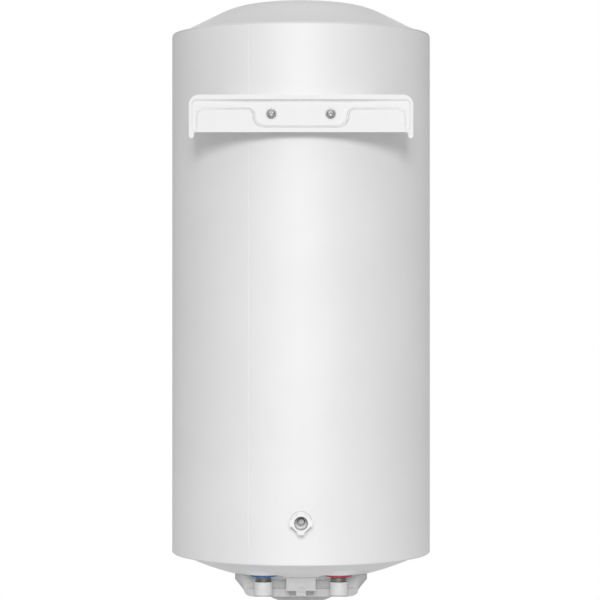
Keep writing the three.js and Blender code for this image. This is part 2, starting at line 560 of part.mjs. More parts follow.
// wiring chamber
function thermostatAndWiring() {
  const { width, depth, height, top } = thermostat;
  const bottom = top - height;
  const shaftRoom = rod(shaft.radius + runGap, bottom - 1, top - 6, smooth.small);
  add("thermostat", cut(block(width, depth, height).translate(0, 0, top - height / 2), shaftRoom),
    "blackPlastic", 0, bulge.y, 0);
  const cutoutLow = cutout.top - cutout.height;
  const buttonRoom = rod(resetButton.radius + runGap, cutoutLow - 1, cutoutLow + 6, smooth.small);
  add("thermal_cutout", cut(rod(cutout.radius, cutoutLow, cutout.top, smooth.medium), buttonRoom),
    "blackPlastic", cutout.x, cutout.y, 0);
  add("reset_button", rod(resetButton.radius, cutoutLow - resetButton.height + 3, cutoutLow + 3,
    smooth.small), "red", cutout.x, cutout.y, 0);

  const { y, width: w, depth: d, height: h, top: t } = terminals;
  add("terminal_block", block(w, d, h).translate(0, 0, t - h / 2), "whitePlastic", 0, y, 0);
  const start = elementLow - 7 - gap;
  const arrive = y - d / 2 - gap;
  const wires = [["live_wire", "brown", -1], ["neutral_wire", "wireBlue", 1]].map(([name, paint, side]) => {
    const from = [side * element.spread, element.y];
    const to = [side * 14, arrive];
    const rise = [[...from, start], [...from, start - 1.7], [side * 12, -4, t], [side * 13, 5, t - 0.5]];
    return [name, paint, [...rise, [side * 14, 11, t - 3], [to[0], to[1] - 3, t - 5.6], [...to, t - 6]]];
  });
  wires.forEach(([name, paint, points]) => add(name, bent(points, 1.1, 9, 5), paint));
}

// bottom cover
// Plan outline of the cover, drawn in by its wall for the inside.
function coverPlan(inset) {
  const half = cover.halfWidth - inset;
  const back = coverBack - inset;
  const corner = coverTaper.corner - inset;
  const { middle } = coverTaper;
  const shape = new THREE.Shape().moveTo(half, middle).lineTo(half, back - corner);
  shape.absarc(half - corner, back - corner, corner, 0, Math.PI / 2);
  shape.lineTo(-half + corner, back);
  shape.absarc(-half + corner, back - corner, corner, Math.PI / 2, Math.PI);
  shape.lineTo(-half, middle);
  shape.absellipse(0, middle, half, middle - cover.front - inset, Math.PI, 2 * Math.PI);
  return shape;
}

// The cover seen from the back: straight shoulders, slanted sides and a flat floor.
function coverFront(inset) {
  const half = cover.halfWidth - inset;
  const floor = cover.floor + inset;
  const [slantX, slantZ] = [coverTaper.slantHalf - inset, coverTaper.slantLevel + inset * 0.6];
  const floorX = cover.floorHalf - inset * 0.6;
  const shape = new THREE.Shape().moveTo(-half, 10).lineTo(-half, cover.shoulder).lineTo(-slantX, slantZ);
  shape.quadraticCurveTo(-floorX - 6, floor, -floorX, floor).lineTo(floorX, floor);
  shape.quadraticCurveTo(floorX + 6, floor, slantX, slantZ);
  shape.lineTo(half, cover.shoulder).lineTo(half, 10);
  return shape;
}

// The cover seen from the side: upright back, floor, and a front that slopes up.
function coverSide(inset) {
  const shape = new THREE.Shape().moveTo(coverBack - inset, 10).lineTo(coverBack - inset,
    cover.floor + inset);
  shape.lineTo(cover.front + coverTaper.frontRun + inset * 0.6, cover.floor + inset);
  shape.lineTo(cover.front + inset, cover.shoulder + inset * 0.4).lineTo(cover.front + inset, 10);
  return shape;
}

function coverBody(inset) {
  const plan = prism(coverPlan(inset), 100).translate(0, 0, -95);
  const front = slab(coverFront(inset), 300, 5).translate(0, 150, 0);
  const side = new THREE.ExtrudeGeometry(coverSide(inset), { depth: 300, bevelEnabled: false })
    .rotateX(Math.PI / 2).rotateZ(Math.PI / 2).translate(-150, 0, 0);
  return common(plan, front, side);
}

// The shallow round swelling under the floor that carries the knob.
function coverBulge(inset) {
  const { radius, flat, depth, y } = bulge;
  const low = cover.floor - depth + inset;
  const curve = [[0, low], [flat, low], [radius - 12 - inset * 0.4, low + 1.2], [radius - 4 - inset, low + 3.9],
    [radius - 1 - inset, low + 7], [radius - inset, cover.floor - 2 + inset * 0.5],
    [radius + 1 - inset, cover.floor + 3]];
  return turned([...curve, [0, cover.floor + 3]], smooth.medium).translate(0, y, 0);
}

const coverScrewPlaces = [-1, 1].map((side) => ({ side, at: (g) => g.translate(side * coverScrew.x,
  coverScrew.y, 0) }));

// The housing at the back of the cover, between the pipes, where a supply cable comes out.
function outletHousing(inset, back) {
  const half = outlet.width / 2 - inset;
  const low = outlet.bottom + inset;
  return block(2 * half, back - coverBack + 30, -low).translate(0, (back + coverBack - 30) / 2, low / 2);
}

function bottomCover() {
  const outside = join(coverBody(0), coverBulge(0), outletHousing(0, outletBack));
  const insideBack = outletBack - outlet.wall;
  const inside = join(coverBody(cover.wall), coverBulge(cover.wall), outletHousing(outlet.wall,
    insideBack));
  const { level, depth } = ledge;
  const ledgeSides = [-1, 1].map((side) => block(200, depth + 1, -level)
    .translate(side * (100 + outlet.width / 2), coverBack + (1 - depth) / 2, level / 2));
  const behindLedge = coverBody(0).translate(0, -depth - cover.wall, 0);
  const wallBehind = cut(common(coverBody(0), ...[block(400, 12, -level).translate(0,
    coverBack - depth - cover.wall / 2, level / 2)]), behindLedge);
  const shaftHole = rod(shaft.radius + runGap + 1, -90, 0, smooth.small).translate(0, bulge.y, 0);
  const cableHole = rod(outlet.hole, -90, outlet.bottom + 5, smooth.small).translate(0, outletBack - 15, 0);
  const { width, top, bottom, aside, depth: pocketDepth } = latchPocket;
  const pockets = [-1, 1].map((side) => block(width, 2 * pocketDepth, top - bottom)
    .translate(side * (tongue.width / 2 + aside + width / 2), coverBack, (top + bottom) / 2));
  const flap = block(tongue.width, tongue.thickness, outlet.bottom - tongue.end + 2)
    .translate(0, outletBack - tongue.thickness / 2, (outlet.bottom + tongue.end) / 2 + 1);
  const grooves = tongue.grooves.map((z) =>
    block(tongue.grooveWidth, tongue.grooveSize, tongue.grooveSize).translate(0, outletBack, z));
  const lampHoles = [-1, 1].map((side) => lampPlace(rod(lamp.radius + gap, -30, 30, smooth.small), side));
  const posts = coverScrewPlaces.map(({ at }) => at(rod(coverScrew.radius + 2.6, coverScrew.seat + 2, -10,
    smooth.small)));
  const screwHoles = coverScrewPlaces.map(({ at }) => at(rod(coverScrew.radius + gap, -90, 10,
    smooth.small)));
  const headRooms = coverScrewPlaces.map(({ at }) => at(rod(coverScrew.headRadius + 0.8, -90,
    coverScrew.seat, smooth.small)));
  const cups = coverScrewPlaces.map(({ at }) => common(at(rod(coverScrew.headRadius + 3, -90,
    coverScrew.seat + 3, smooth.small)), coverBody(0)));
  const shell = cut(outside, inside, ...ledgeSides);
  const built = cut(join(shell, wallBehind, flap, ...posts, ...cups), insideDish(gap * 1.5), shaftHole,
    cableHole, ...pockets, ...grooves, ...lampHoles, ...screwHoles, ...headRooms);
  add("bottom_cover", built, "whitePlastic");
  coverScrewPlaces.forEach(({ side }) => {
    const under = coverScrew.seat - gap;
    const { radius, headRadius, head, length } = coverScrew;
    const screw = turned([[0, under - head], [headRadius * 0.6, under - head],
      [headRadius, under - head * 0.4], [headRadius, under], [radius, under],
      [radius, under + length], [0, under + length + 3]], smooth.small);
    add(`cover_screw_${side < 0 ? "hot" : "cold"}_side`, screw, "zinc", side * coverScrew.x, coverScrew.y,
      0);
  });
}

// Puts a piece on the sloping front of the cover, its own +Z pointing out of the cover.
const slopeRise = cover.shoulder - cover.floor;
const slopeTilt = Math.atan2(coverTaper.frontRun, slopeRise);
const lampY = cover.front + coverTaper.frontRun / 2 + lamp.slopeShift;
const lampZ = cover.shoulder - slopeRise / 2 - lamp.drop;
// How far a lamp reaches in from the slope and still clears the bottom cap.
const lampRise = bottomDishAt(Math.hypot(lamp.x,
  lampY)) - lamp.room - lampZ - lamp.radius * Math.cos(slopeTilt);
const lampLength = lampRise / Math.sin(slopeTilt);

function lampPlace(geometry, side) {
  return geometry.rotateX(Math.PI / 2 + slopeTilt).translate(side * lamp.x, lampY, lampZ);
}

function coverFittings() {
  [-1, 1].forEach((side) => {
    const glass = turned([[0, -lampLength], [lamp.radius, -lampLength], [lamp.radius, 1],
      [lamp.radius * 0.7, lamp.lens], [0, lamp.lens + 0.6]], smooth.small);
    add(side < 0 ? "heating_lamp" : "power_lamp", lampPlace(glass, side),
      side < 0 ? "lampRed" : "lampGreen");
  });

  const knobTop = cover.floor - bulge.depth - gap;
  const body = turned([[0, knobTop - knob.height], [knob.radius * 0.8, knobTop - knob.height],
    [knob.radius, knobTop - knob.height + 2.5],
    [knob.radius, knobTop - 3], [knob.flare, knobTop - 1], [knob.flare, knobTop - runGap],
      [0, knobTop - runGap]], smooth.medium);
  const thumb = [-1, 1].map((side) => block(30, 20, knob.height - 4).translate(0, side * (knob.grip + 10),
    knobTop - knob.height / 2 - 2.5));
  const grooved = common(body, join(rod(knob.flare + 1, knobTop - 4, knobTop, smooth.medium),
    cut(body, ...thumb)));
  add("temperature_knob", grooved, "whitePlastic", 0, bulge.y, 0);
  const shaftTop = thermostat.top - thermostat.height + 8;
  add("thermostat_shaft", rod(shaft.radius, knobTop - runGap + gap, shaftTop, smooth.small), "zinc", 0,
    bulge.y, 0);
}

// dial thermometer on the front
function dialThermometer() {
  const front = -casing.radius;
  const inner = gauge.radius - gauge.bezel;
  const put = (name, geometry, paint) => add(name, geometry.rotateX(Math.PI / 2), paint, 0, front,
    gauge.height);
  // Each piece is drawn with +Z out of the dial, 0 at the foremost line of the casing.
  put("gauge_case", turned([[0, -gauge.depth - 1.2], [inner, -gauge.depth - 1.2], [inner, 0.4],
    [inner - 1.2, 0.4], [inner - 1.2, -gauge.depth], [0, -gauge.depth]], smooth.medium), "blackPlastic");
  put("gauge_dial", rod(inner - 1.2 - gap, -3, -2, smooth.medium), "dialFace");
  const hub = rod(gauge.hub, -2 + gap, -0.6, smooth.tiny);
  const needle = prism(new THREE.Shape().moveTo(-1.1, -4).lineTo(1.1, -4).lineTo(0.35, gauge.pointer)
    .lineTo(-0.35, gauge.pointer), 0.6)
    .rotateZ(THREE.MathUtils.degToRad(120)).translate(0, 0, -1.5);
  put("gauge_pointer", join(hub, needle), "red");
  put("gauge_lens", rod(inner - 1.2 - gap, 0.4, 1.6, smooth.medium), "lens");
  const flat = gauge.radius;
  put("gauge_bezel", turned([[flat - 5.2, 2], [flat - 3, 0.7], [flat, 0.7], [flat, gauge.proud - 1.6],
    [flat - 1.6, gauge.proud], [flat - 3, gauge.proud], [flat - 5.2, 2.6]], smooth.medium), "zinc");
}

topCap();
bottomCap();
innerTank();
casingAndFoam();
wallBracket();
wallSpacer();
waterConnections();
elementFlange();
thermostatAndWiring();
bottomCover();
coverFittings();
dialThermometer();

export default heater;
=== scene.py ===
import math
import bpy
from mathutils import Matrix, Vector


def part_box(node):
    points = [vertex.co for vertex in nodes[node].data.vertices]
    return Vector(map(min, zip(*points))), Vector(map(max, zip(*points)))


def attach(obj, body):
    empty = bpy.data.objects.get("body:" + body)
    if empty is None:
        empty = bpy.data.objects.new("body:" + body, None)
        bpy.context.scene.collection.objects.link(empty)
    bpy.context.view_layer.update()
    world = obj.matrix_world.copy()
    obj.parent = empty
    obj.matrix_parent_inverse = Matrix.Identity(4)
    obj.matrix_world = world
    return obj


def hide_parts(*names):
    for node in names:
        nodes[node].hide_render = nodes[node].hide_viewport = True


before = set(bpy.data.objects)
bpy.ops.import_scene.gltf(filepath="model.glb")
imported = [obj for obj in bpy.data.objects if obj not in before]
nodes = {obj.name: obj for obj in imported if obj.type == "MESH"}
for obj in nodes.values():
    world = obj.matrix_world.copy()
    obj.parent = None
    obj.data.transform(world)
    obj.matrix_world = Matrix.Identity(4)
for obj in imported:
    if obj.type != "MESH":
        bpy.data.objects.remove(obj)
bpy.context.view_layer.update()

# A slim wall-hung electric storage water heater, seen from its wall side.
# Sizes in the dictionaries are millimetres, measured from the tank's axis (x, y) and the casing's lower edge (z).

casingLow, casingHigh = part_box("casing")
axisY = (casingLow.y + casingHigh.y) / 2
footZ = casingLow.z


def place(x, y, z):
    return Vector((x / 1000, axisY + y / 1000, footZ + z / 1000))  # millimetres about the tank to the frame's metres


def local(point):
    return (point.x * 1000, (point.y - axisY) * 1000, (point.z - footZ) * 1000)


# camera: level with the middle of the casing, square to its wall side
camera = {"distance": 3247.6, "height": 352.0, "focal": 142.0, "shiftX": -0.0017, "shiftY": -0.0095}
bpy.ops.object.camera_add(location=place(0, camera["distance"], camera["height"]), rotation=(math.pi / 2, 0, math.pi))
eye = bpy.context.object
eye.data.lens = camera["focal"]
eye.data.sensor_width = 36
eye.data.shift_x = camera["shiftX"]
eye.data.shift_y = camera["shiftY"]
bpy.context.scene.camera = eye
print("camera ready")


# materials
def linear(hexColour, alpha=1.0):
    channels = [int(hexColour[i : i + 2], 16) / 255 for i in (1, 3, 5)]
    return [c / 12.92 if c <= 0.04045 else ((c + 0.055) / 1.055) ** 2.4 for c in channels] + [alpha]


def addNode(tree, kind, settings=None, links=None):
    node = tree.nodes.new(kind)
    for name, value in (settings or {}).items():
        if isinstance(name, int) or name in node.inputs:
            node.inputs[name].default_value = value
        else:
            setattr(node, name, value)
    for name, source in (links or {}).items():
        tree.links.new(source, node.inputs[name])
    return node


def finish(name, recipe):
    # a base colour that wanders a little, a roughness that wanders with it, and a fine relief
    material = bpy.data.materials.new(name)
    material.use_nodes = True
    tree = material.node_tree
    shader = tree.nodes["Principled BSDF"]
    for socket, value in recipe.get("shader", {}).items():
        shader.inputs[socket].default_value = value
    coordinates = addNode(tree, "ShaderNodeTexCoord").outputs["Object"]
    stretch = addNode(tree, "ShaderNodeMapping", {"Scale": recipe.get("stretch", (1, 1, 1))}, {"Vector": coordinates})
    cloudScale = 1000 / recipe.get("cloudMm", 60)
    cloud = addNode(tree, "ShaderNodeTexNoise", {"Scale": cloudScale, "Detail": 3.0, "Roughness": 0.55},
                    {"Vector": stretch.outputs[0]})
    first, second = recipe["colours"]
    blend = addNode(tree, "ShaderNodeValToRGB", {}, {"Fac": cloud.outputs["Fac"]})
    blend.color_ramp.elements[0].position, blend.color_ramp.elements[1].position = 0.35, 0.65
    blend.color_ramp.elements[0].color, blend.color_ramp.elements[1].color = linear(first), linear(second)
    tree.links.new(blend.outputs["Color"], shader.inputs["Base Color"])
    grainScale = 1000 / recipe["grainMm"]
    if recipe.get("cells"):
        grain = addNode(tree, "ShaderNodeTexVoronoi", {"Scale": grainScale, "feature": "SMOOTH_F1"},
                        {"Vector": stretch.outputs[0]}).outputs["Distance"]
    else:
        grain = addNode(tree, "ShaderNodeTexNoise", {"Scale": grainScale, "Detail": 2.0},
                        {"Vector": stretch.outputs[0]}).outputs["Fac"]
    low, high = recipe["roughness"]
    rough = addNode(tree, "ShaderNodeMapRange", {"From Min": 0.3, "From Max": 0.7, "To Min": low, "To Max": high},
                    {"Value": grain})
    tree.links.new(rough.outputs["Result"], shader.inputs["Roughness"])
    relief = addNode(tree, "ShaderNodeBump", {"Strength": recipe.get("reliefStrength", 0.3),
                     "Distance": recipe["reliefMm"] / 1000}, {"Height": grain})
    tree.links.new(relief.outputs["Normal"], shader.inputs["Normal"])
    return material


recipes = {
    # enamel baked on thin steel: white with a faint pearl that gathers the light into one soft band, and orange peel
    "bakedWhiteEnamel": {"colours": ("#f2f2f2", "#efefef"), "grainMm": 2.4, "reliefMm": 0.02,
                         "roughness": (0.57, 0.63),
                         "cloudMm": 120, "shader": {"IOR": 1.5, "Metallic": 0.16}},
    # enamel on the pressed end caps: the casing's white made a little greyer, which is painted shade for the dishes
    # turned away from the light, and duller
    "capEnamelGreyedAsPaintedShade": {"colours": ("#e9e9e9", "#e5e5e5"), "grainMm": 2.4, "reliefMm": 0.02,
                         "roughness": (0.6, 0.68),
                         "cloudMm": 120, "shader": {"IOR": 1.4}},
    # powder coat on pressed steel: satin, with a fine pebble
    "satinPowderCoat": {"colours": ("#f1f1f1", "#eeeeee"), "grainMm": 0.9, "reliefMm": 0.02,
                        "roughness": (0.56, 0.64),
                        "cloudMm": 80, "shader": {"IOR": 1.5, "Metallic": 0.12}},
    # moulded polypropylene cover: matt, spark-eroded texture; its pale grey is painted shade for the cover, which
    # lies in the shadow under the casing
    "polypropyleneGreyedAsPaintedShade": {"colours": ("#c9c9c9", "#c4c4c4"), "grainMm": 0.8, "reliefMm": 0.03,
                                 "roughness": (0.5, 0.62), "cloudMm": 50, "shader": {"IOR": 1.49}},
    # injection moulded polyamide foot: dense white with a dry surface
    "mouldedWhitePolyamide": {"colours": ("#f8f8f8", "#f4f4f4"), "grainMm": 0.7, "reliefMm": 0.02,
                              "roughness": (0.45, 0.55), "cloudMm": 20, "shader": {"IOR": 1.53}},
    # thin polyethylene cap: waxy white that lets a little light through
    "waxyWhitePolyethylene": {"colours": ("#e2e2e2", "#dadada"), "grainMm": 0.8, "reliefMm": 0.015,
                              "roughness": (0.34, 0.46), "cloudMm": 12,
                              "shader": {"IOR": 1.51, "Subsurface Weight": 0.1, "Subsurface Scale": 0.001}},
    # dyed nylon marking ring, cold side
    "blueDyedNylon": {"colours": ("#2b66a8", "#245a99"), "grainMm": 0.6, "reliefMm": 0.01, "roughness": (0.35, 0.48),
                      "cloudMm": 10, "shader": {"IOR": 1.53}},
    # dyed nylon marking ring, hot side
    "redDyedNylon": {"colours": ("#b8323e", "#a62a37"), "grainMm": 0.6, "reliefMm": 0.01, "roughness": (0.35, 0.48),
                     "cloudMm": 10, "shader": {"IOR": 1.53}},
    # cut steel thread with a film of oil: dark, with bright lines round it
    "cutThreadSteel": {"colours": ("#c4c4c4", "#a4a4a4"), "grainMm": 0.5, "reliefMm": 0.02, "roughness": (0.38, 0.52),
                       "stretch": (0.25, 0.25, 2.5), "cloudMm": 6, "shader": {"Metallic": 1.0}},
    # bright zinc plating on a cold-headed screw: pale grey, faintly mottled
    "zincPlatedSteel": {"colours": ("#b8b8b8", "#9e9e9e"), "grainMm": 0.7, "reliefMm": 0.01,
                        "roughness": (0.42, 0.56),
                        "cloudMm": 3, "shader": {"Metallic": 1.0}},
    # bare rolled steel tank: blue-grey mill scale with darker clouds
    "rolledTankSteel": {"colours": ("#6d7176", "#54575b"), "grainMm": 3, "reliefMm": 0.04, "roughness": (0.4, 0.6),
                        "cloudMm": 45, "stretch": (1, 1, 0.4), "shader": {"Metallic": 1.0}},
    # polished chrome trim ring
    "chromedTrim": {"colours": ("#e2e4e6", "#d6d8da"), "grainMm": 2, "reliefMm": 0.003, "roughness": (0.08, 0.14),
                    "cloudMm": 15, "shader": {"Metallic": 1.0}},
    # poured polyurethane foam: straw yellow with open cells
    "pouredFoam": {"colours": ("#eadba8", "#dcc98e"), "grainMm": 3, "reliefMm": 0.6, "reliefStrength": 0.8,
                   "roughness": (0.85, 0.98), "cells": True, "cloudMm": 35, "shader": {"IOR": 1.4}},
    # drawn copper sheath, tarnished a little
    "drawnCopper": {"colours": ("#c07a4c", "#a3623a"), "grainMm": 1, "reliefMm": 0.01, "roughness": (0.25, 0.4),
                    "cloudMm": 8, "stretch": (1, 1, 0.2), "shader": {"Metallic": 1.0}},
    # extruded magnesium: dull silver with a chalky bloom
    "extrudedMagnesium": {"colours": ("#b3b5b4", "#989a99"), "grainMm": 1.5, "reliefMm": 0.04,
                          "roughness": (0.5, 0.7),
                          "cloudMm": 9, "stretch": (1, 1, 0.25), "shader": {"Metallic": 1.0}},
    # moulded rubber seal
    "mouldedRubber": {"colours": ("#2c2c2c", "#232323"), "grainMm": 0.8, "reliefMm": 0.03, "roughness": (0.7, 0.85),
                      "cloudMm": 12, "shader": {"IOR": 1.5}},
    # phenolic switch housing: near black with a fine flow texture
    "blackPhenolic": {"colours": ("#26272a", "#1e1f22"), "grainMm": 0.7, "reliefMm": 0.02, "roughness": (0.4, 0.55),
                      "cloudMm": 10, "shader": {"IOR": 1.6}},
    # printed white dial card
    "printedDialCard": {"colours": ("#fbfbf8", "#f5f5f1"), "grainMm": 0.5, "reliefMm": 0.01, "roughness": (0.5, 0.6),
                        "cloudMm": 14, "shader": {"IOR": 1.45}},
    # clear acrylic window: almost unseen but for its gloss
    "clearAcrylic": {"colours": ("#fbfdfd", "#f6fafa"), "grainMm": 6, "reliefMm": 0.003, "roughness": (0.03, 0.07),
                     "cloudMm": 20, "shader": {"IOR": 1.49, "Transmission Weight": 1.0, "Alpha": 0.35}},
    # dyed clear lens of a lamp, lit low
    "redLampLens": {"colours": ("#d8452c", "#c63a24"), "grainMm": 1, "reliefMm": 0.01, "roughness": (0.12, 0.2),
                    "cloudMm": 4, "shader": {"IOR": 1.49, "Transmission Weight": 0.35}},
    "greenLampLens": {"colours": ("#57b14e", "#479f41"), "grainMm": 1, "reliefMm": 0.01, "roughness": (0.12, 0.2),
                      "cloudMm": 4, "shader": {"IOR": 1.49, "Transmission Weight": 0.35}},
    # flexible insulation on the wires
    "brownWireSkin": {"colours": ("#6e4325", "#603a1f"), "grainMm": 0.6, "reliefMm": 0.01, "roughness": (0.4, 0.5),
                      "cloudMm": 6, "shader": {"IOR": 1.5}},
    "blueWireSkin": {"colours": ("#2d62b4", "#2656a2"), "grainMm": 0.6, "reliefMm": 0.01, "roughness": (0.4, 0.5),
                     "cloudMm": 6, "shader": {"IOR": 1.5}},
    # pad-printed ink on the knob and the dial
    "darkPrintInk": {"colours": ("#2e3236", "#26292d"), "grainMm": 0.5, "reliefMm": 0.005, "roughness": (0.5, 0.6),
                     "cloudMm": 5, "shader": {"IOR": 1.5}},
}
materials = {name: finish(name, recipe) for name, recipe in recipes.items()}
print("materials ready:", len(materials))


# how pieces are made
def onlySelect(*pieces):
    if bpy.context.object and bpy.context.object.mode != "OBJECT":
        bpy.ops.object.mode_set(mode="OBJECT")
    bpy.ops.object.select_all(action="DESELECT")
    for piece in pieces:
        piece.select_set(True)
    bpy.context.view_layer.objects.active = pieces[0]


def applyModifier(piece, kind, **settings):
    onlySelect(piece)
    modifier = piece.modifiers.new(kind.lower(), kind)
    for name, value in settings.items():
        setattr(modifier, name, value)
    bpy.ops.object.modifier_apply(modifier=modifier.name)
    return piece


def nameIt(piece, name):
    piece.name = piece.data.name = name
    return piece


def cutAway(piece, *tools):
    for tool in tools:
        applyModifier(piece, "BOOLEAN", object=tool, operation="DIFFERENCE", solver="EXACT")
        bpy.data.objects.remove(tool)
    return piece


def weldOn(piece, *others):
    for other in others:
        applyModifier(piece, "BOOLEAN", object=other, operation="UNION", solver="EXACT")
        bpy.data.objects.remove(other)
    return piece


def outline(name, points):
    # a closed loop of edges through the points, which are (x, y, z) in millimetres about the tank
    bpy.ops.object.select_all(action="DESELECT")
    bpy.ops.mesh.primitive_circle_add(vertices=len(points), radius=0.01)
    piece = nameIt(bpy.context.object, name)
    for vertex, point in zip(piece.data.vertices, points):
        vertex.co = place(*point)
    return piece


def turned(name, profile, centre=(0, 0, 0), along="Z", steps=96):
    # spins a closed profile of (radius, distance along) about an axis through the centre
    cx, cy, cz = centre
    if along == "Z":
        points, axis = [(cx + r, cy, cz + h) for r, h in profile], (0, 0, 1)
    else:
        points, axis = [(cx + r, cy + h, cz) for r, h in profile], (0, 1, 0)
    piece = outline(name, points)
    onlySelect(piece)
    bpy.ops.object.mode_set(mode="EDIT")
    bpy.ops.mesh.select_all(action="SELECT")
    bpy.ops.mesh.spin(steps=steps, angle=math.tau, center=place(*centre), axis=axis)
    bpy.ops.mesh.select_all(action="SELECT")
    bpy.ops.mesh.remove_doubles(threshold=1e-6)
    bpy.ops.mesh.delete_loose()
    bpy.ops.mesh.select_all(action="SELECT")
    bpy.ops.mesh.normals_make_consistent(inside=False)
    bpy.ops.object.mode_set(mode="OBJECT")
    return piece


def tube(outer, inner, low, high):
    return [(inner, low), (outer, low), (outer, high), (inner, high)]


def bar(radius, low, high):
    return [(0, low), (radius, low), (radius, high), (0, high)]


def box(name, low, high):
    centre, size = [(a + b) / 2 for a, b in zip(low, high)], [(b - a) / 1000 for a, b in zip(low, high)]
    bpy.ops.object.select_all(action="DESELECT")
    bpy.ops.mesh.primitive_cube_add(size=1, location=place(*centre))
    piece = nameIt(bpy.context.object, name)
    piece.scale = size
    bpy.ops.object.transform_apply(location=True, rotation=True, scale=True)
    return piece


def curve(centreA, centreB, radius, start, end, steps):
    angles = [math.radians(start + (end - start) * i / steps) for i in range(steps + 1)]
    return [(centreA + radius * math.cos(a), centreB + radius * math.sin(a)) for a in angles]


def complete(piece, material, body, replaced=(), bevel=0.0, segments=3, smooth=35, sharpest=30):
    if bevel:
        applyModifier(piece, "BEVEL", width=bevel / 1000, segments=segments, limit_method="ANGLE",
                      angle_limit=math.radians(sharpest), use_clamp_overlap=True)
    onlySelect(piece)
    bpy.ops.object.transform_apply(location=True, rotation=True, scale=True)
    bpy.ops.object.shade_smooth_by_angle(angle=math.radians(smooth))
    piece.data.materials.clear()
    piece.data.materials.append(materials[material])
    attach(piece, body)
    if replaced:
        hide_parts(*replaced)
    return piece


# casing: one sheet rolled round and lapped, with holes for the spacer, the bracket's bosses and the dial
casing = {"radius": 176.49, "height": 704.0, "sheet": 0.8, "edge": 0.35, "seamX": 68.3, "seamHalf": 0.45,
          "seamDip": 0.35}
holes = {"spacerZ": 56.3, "spacerR": 14.2, "bossX": 38.3, "bossZ": 585.2, "bossR": 8.3, "dialZ": 150.0, "dialR": 23.1}


def makeCasing():
    outer, inner, top, edge = casing["radius"], casing["radius"] - casing["sheet"], casing["height"], casing["edge"]
    profile = [(inner, 0), (outer - edge, 0), (outer, edge), (outer, top - edge), (outer - edge, top), (inner, top)]
    piece = turned("casing_sheet", profile, steps=240)
    seamAngle = math.acos(casing["seamX"] / outer)
    onlySelect(piece)
    for shift in (-1, 0, 1):  # three close cuts up the wall give the lap its own edge
        turn = seamAngle + shift * casing["seamHalf"] / outer
        normal = Vector((-math.sin(turn), math.cos(turn), 0))
        bpy.ops.object.mode_set(mode="EDIT")
        bpy.ops.mesh.select_all(action="SELECT")
        bpy.ops.mesh.bisect(plane_co=place(0, 0, 0), plane_no=normal)
        bpy.ops.object.mode_set(mode="OBJECT")
    seam = Vector((math.cos(seamAngle), math.sin(seamAngle), 0))
    for vertex in piece.data.vertices:
        x, y, z = local(vertex.co)
        if abs(x * seam.y - y * seam.x) < 0.02 and y > 0 and math.hypot(x, y) > outer - 0.5:
            vertex.co = vertex.co - seam * casing["seamDip"] / 1000
    cutAway(piece, turned("hole", bar(holes["spacerR"], 150, 190), (0, 0, holes["spacerZ"]), "Y", 48),
            turned("hole", bar(holes["dialR"], -190, -150), (0, 0, holes["dialZ"]), "Y", 64),
            *[turned("hole", bar(holes["bossR"], 150, 190), (side * holes["bossX"], 0, holes["bossZ"]), "Y", 32)
              for side in (-1, 1)])
    complete(piece, "bakedWhiteEnamel", "heater", ["casing"], smooth=20)


makeCasing()
print("casing ready")

# top cap: a pressed dish with a flat crown, its lip laid over the casing
capRim = {"plugDrop": 12.0, "sheet": 0.8, "gap": 0.3}
topRim = {"inset": 0.9, "low": 1.1, "high": 2.4, "round": 0.9}
bottomRim = {"inset": 1.4, "low": 0.3, "high": 1.2, "round": 0.7}
topDish = {"height": 47.1, "crownReach": 70.6, "crownRadius": 588.0, "knuckleRadius": 128.0, "slope": 28.4}
filler = {"head": 9.0, "shoulder": 7.0, "height": 2.2, "stem": 6.5, "stemDrop": 10.0}


def capProfile(dish, rim):
    lipR, plugR = casing["radius"] - rim["inset"], casing["radius"] - casing["sheet"] - capRim["gap"]
    sheet, innerR = capRim["sheet"], plugR - capRim["sheet"]
    rimEdge = curve(lipR - rim["round"], rim["high"] - rim["round"], rim["round"], 90, 0, 5)
    outside = [*dish, *rimEdge, (lipR, rim["low"]), (plugR, rim["low"]), (plugR, -capRim["plugDrop"])]
    inside = [(min(r, innerR), z - sheet) for r, z in dish][::-1]
    return [*outside, (innerR, -capRim["plugDrop"]), (innerR, rim["high"] - sheet), *inside]


def topDishCurve():
    reach, crownR, knuckleR = topDish["crownReach"], topDish["crownRadius"], topDish["knuckleRadius"]
    crownTurn = math.degrees(math.asin(reach / crownR))
    crown = curve(0, topDish["height"] - crownR, crownR, 90, 90 - crownTurn, 10)
    turn = math.radians(90 - crownTurn)
    joinR, joinZ = crown[-1]
    knuckle = curve(joinR - knuckleR * math.cos(turn), joinZ - knuckleR * math.sin(turn), knuckleR,
                    90 - crownTurn, 90 - topDish["slope"], 10)[1:]
    flankR, flankZ = knuckle[-1]
    run = (flankZ - topRim["high"]) / math.tan(math.radians(topDish["slope"]))
    fade = curve(flankR + run + 6, topRim["high"] + 12, 12, 252, 270, 4)  # the flank eases out into the lip
    return [*crown, *knuckle, *[(r, max(z, topRim["high"])) for r, z in fade if r < casing["radius"] - 4]]


def makeTopCap():
    base = casing["height"]
    profile = [(r, base + z) for r, z in capProfile(topDishCurve(), topRim)]
    piece = turned("top_cap_pressing", profile, steps=240)
    cutAway(piece, turned("hole", bar(filler["stem"] + 0.3, base + 30, base + 70), steps=48))
    complete(piece, "capEnamelGreyedAsPaintedShade", "heater", ["top_cap"], smooth=25)
    seat = base + topDish["height"] + capRim["gap"]
    head, shoulder, rise = filler["head"], filler["shoulder"], filler["height"]
    button = [(0, seat - filler["stemDrop"]), (filler["stem"], seat - filler["stemDrop"]), (filler["stem"], seat),
              (head, seat),
              *curve(head - 0.6, seat + 0.6, 0.6, 0, 60, 3), (shoulder, seat + rise - 0.3),
              (shoulder - 1, seat + rise),
              (3.2, seat + rise), (2.4, seat + rise - 0.5), (0, seat + rise - 0.5)]
    complete(turned("filling_plug", button, steps=48), "mouldedWhitePolyamide", "heater",
             ["foam_fill_plug"])


makeTopCap()
print("top cap ready")

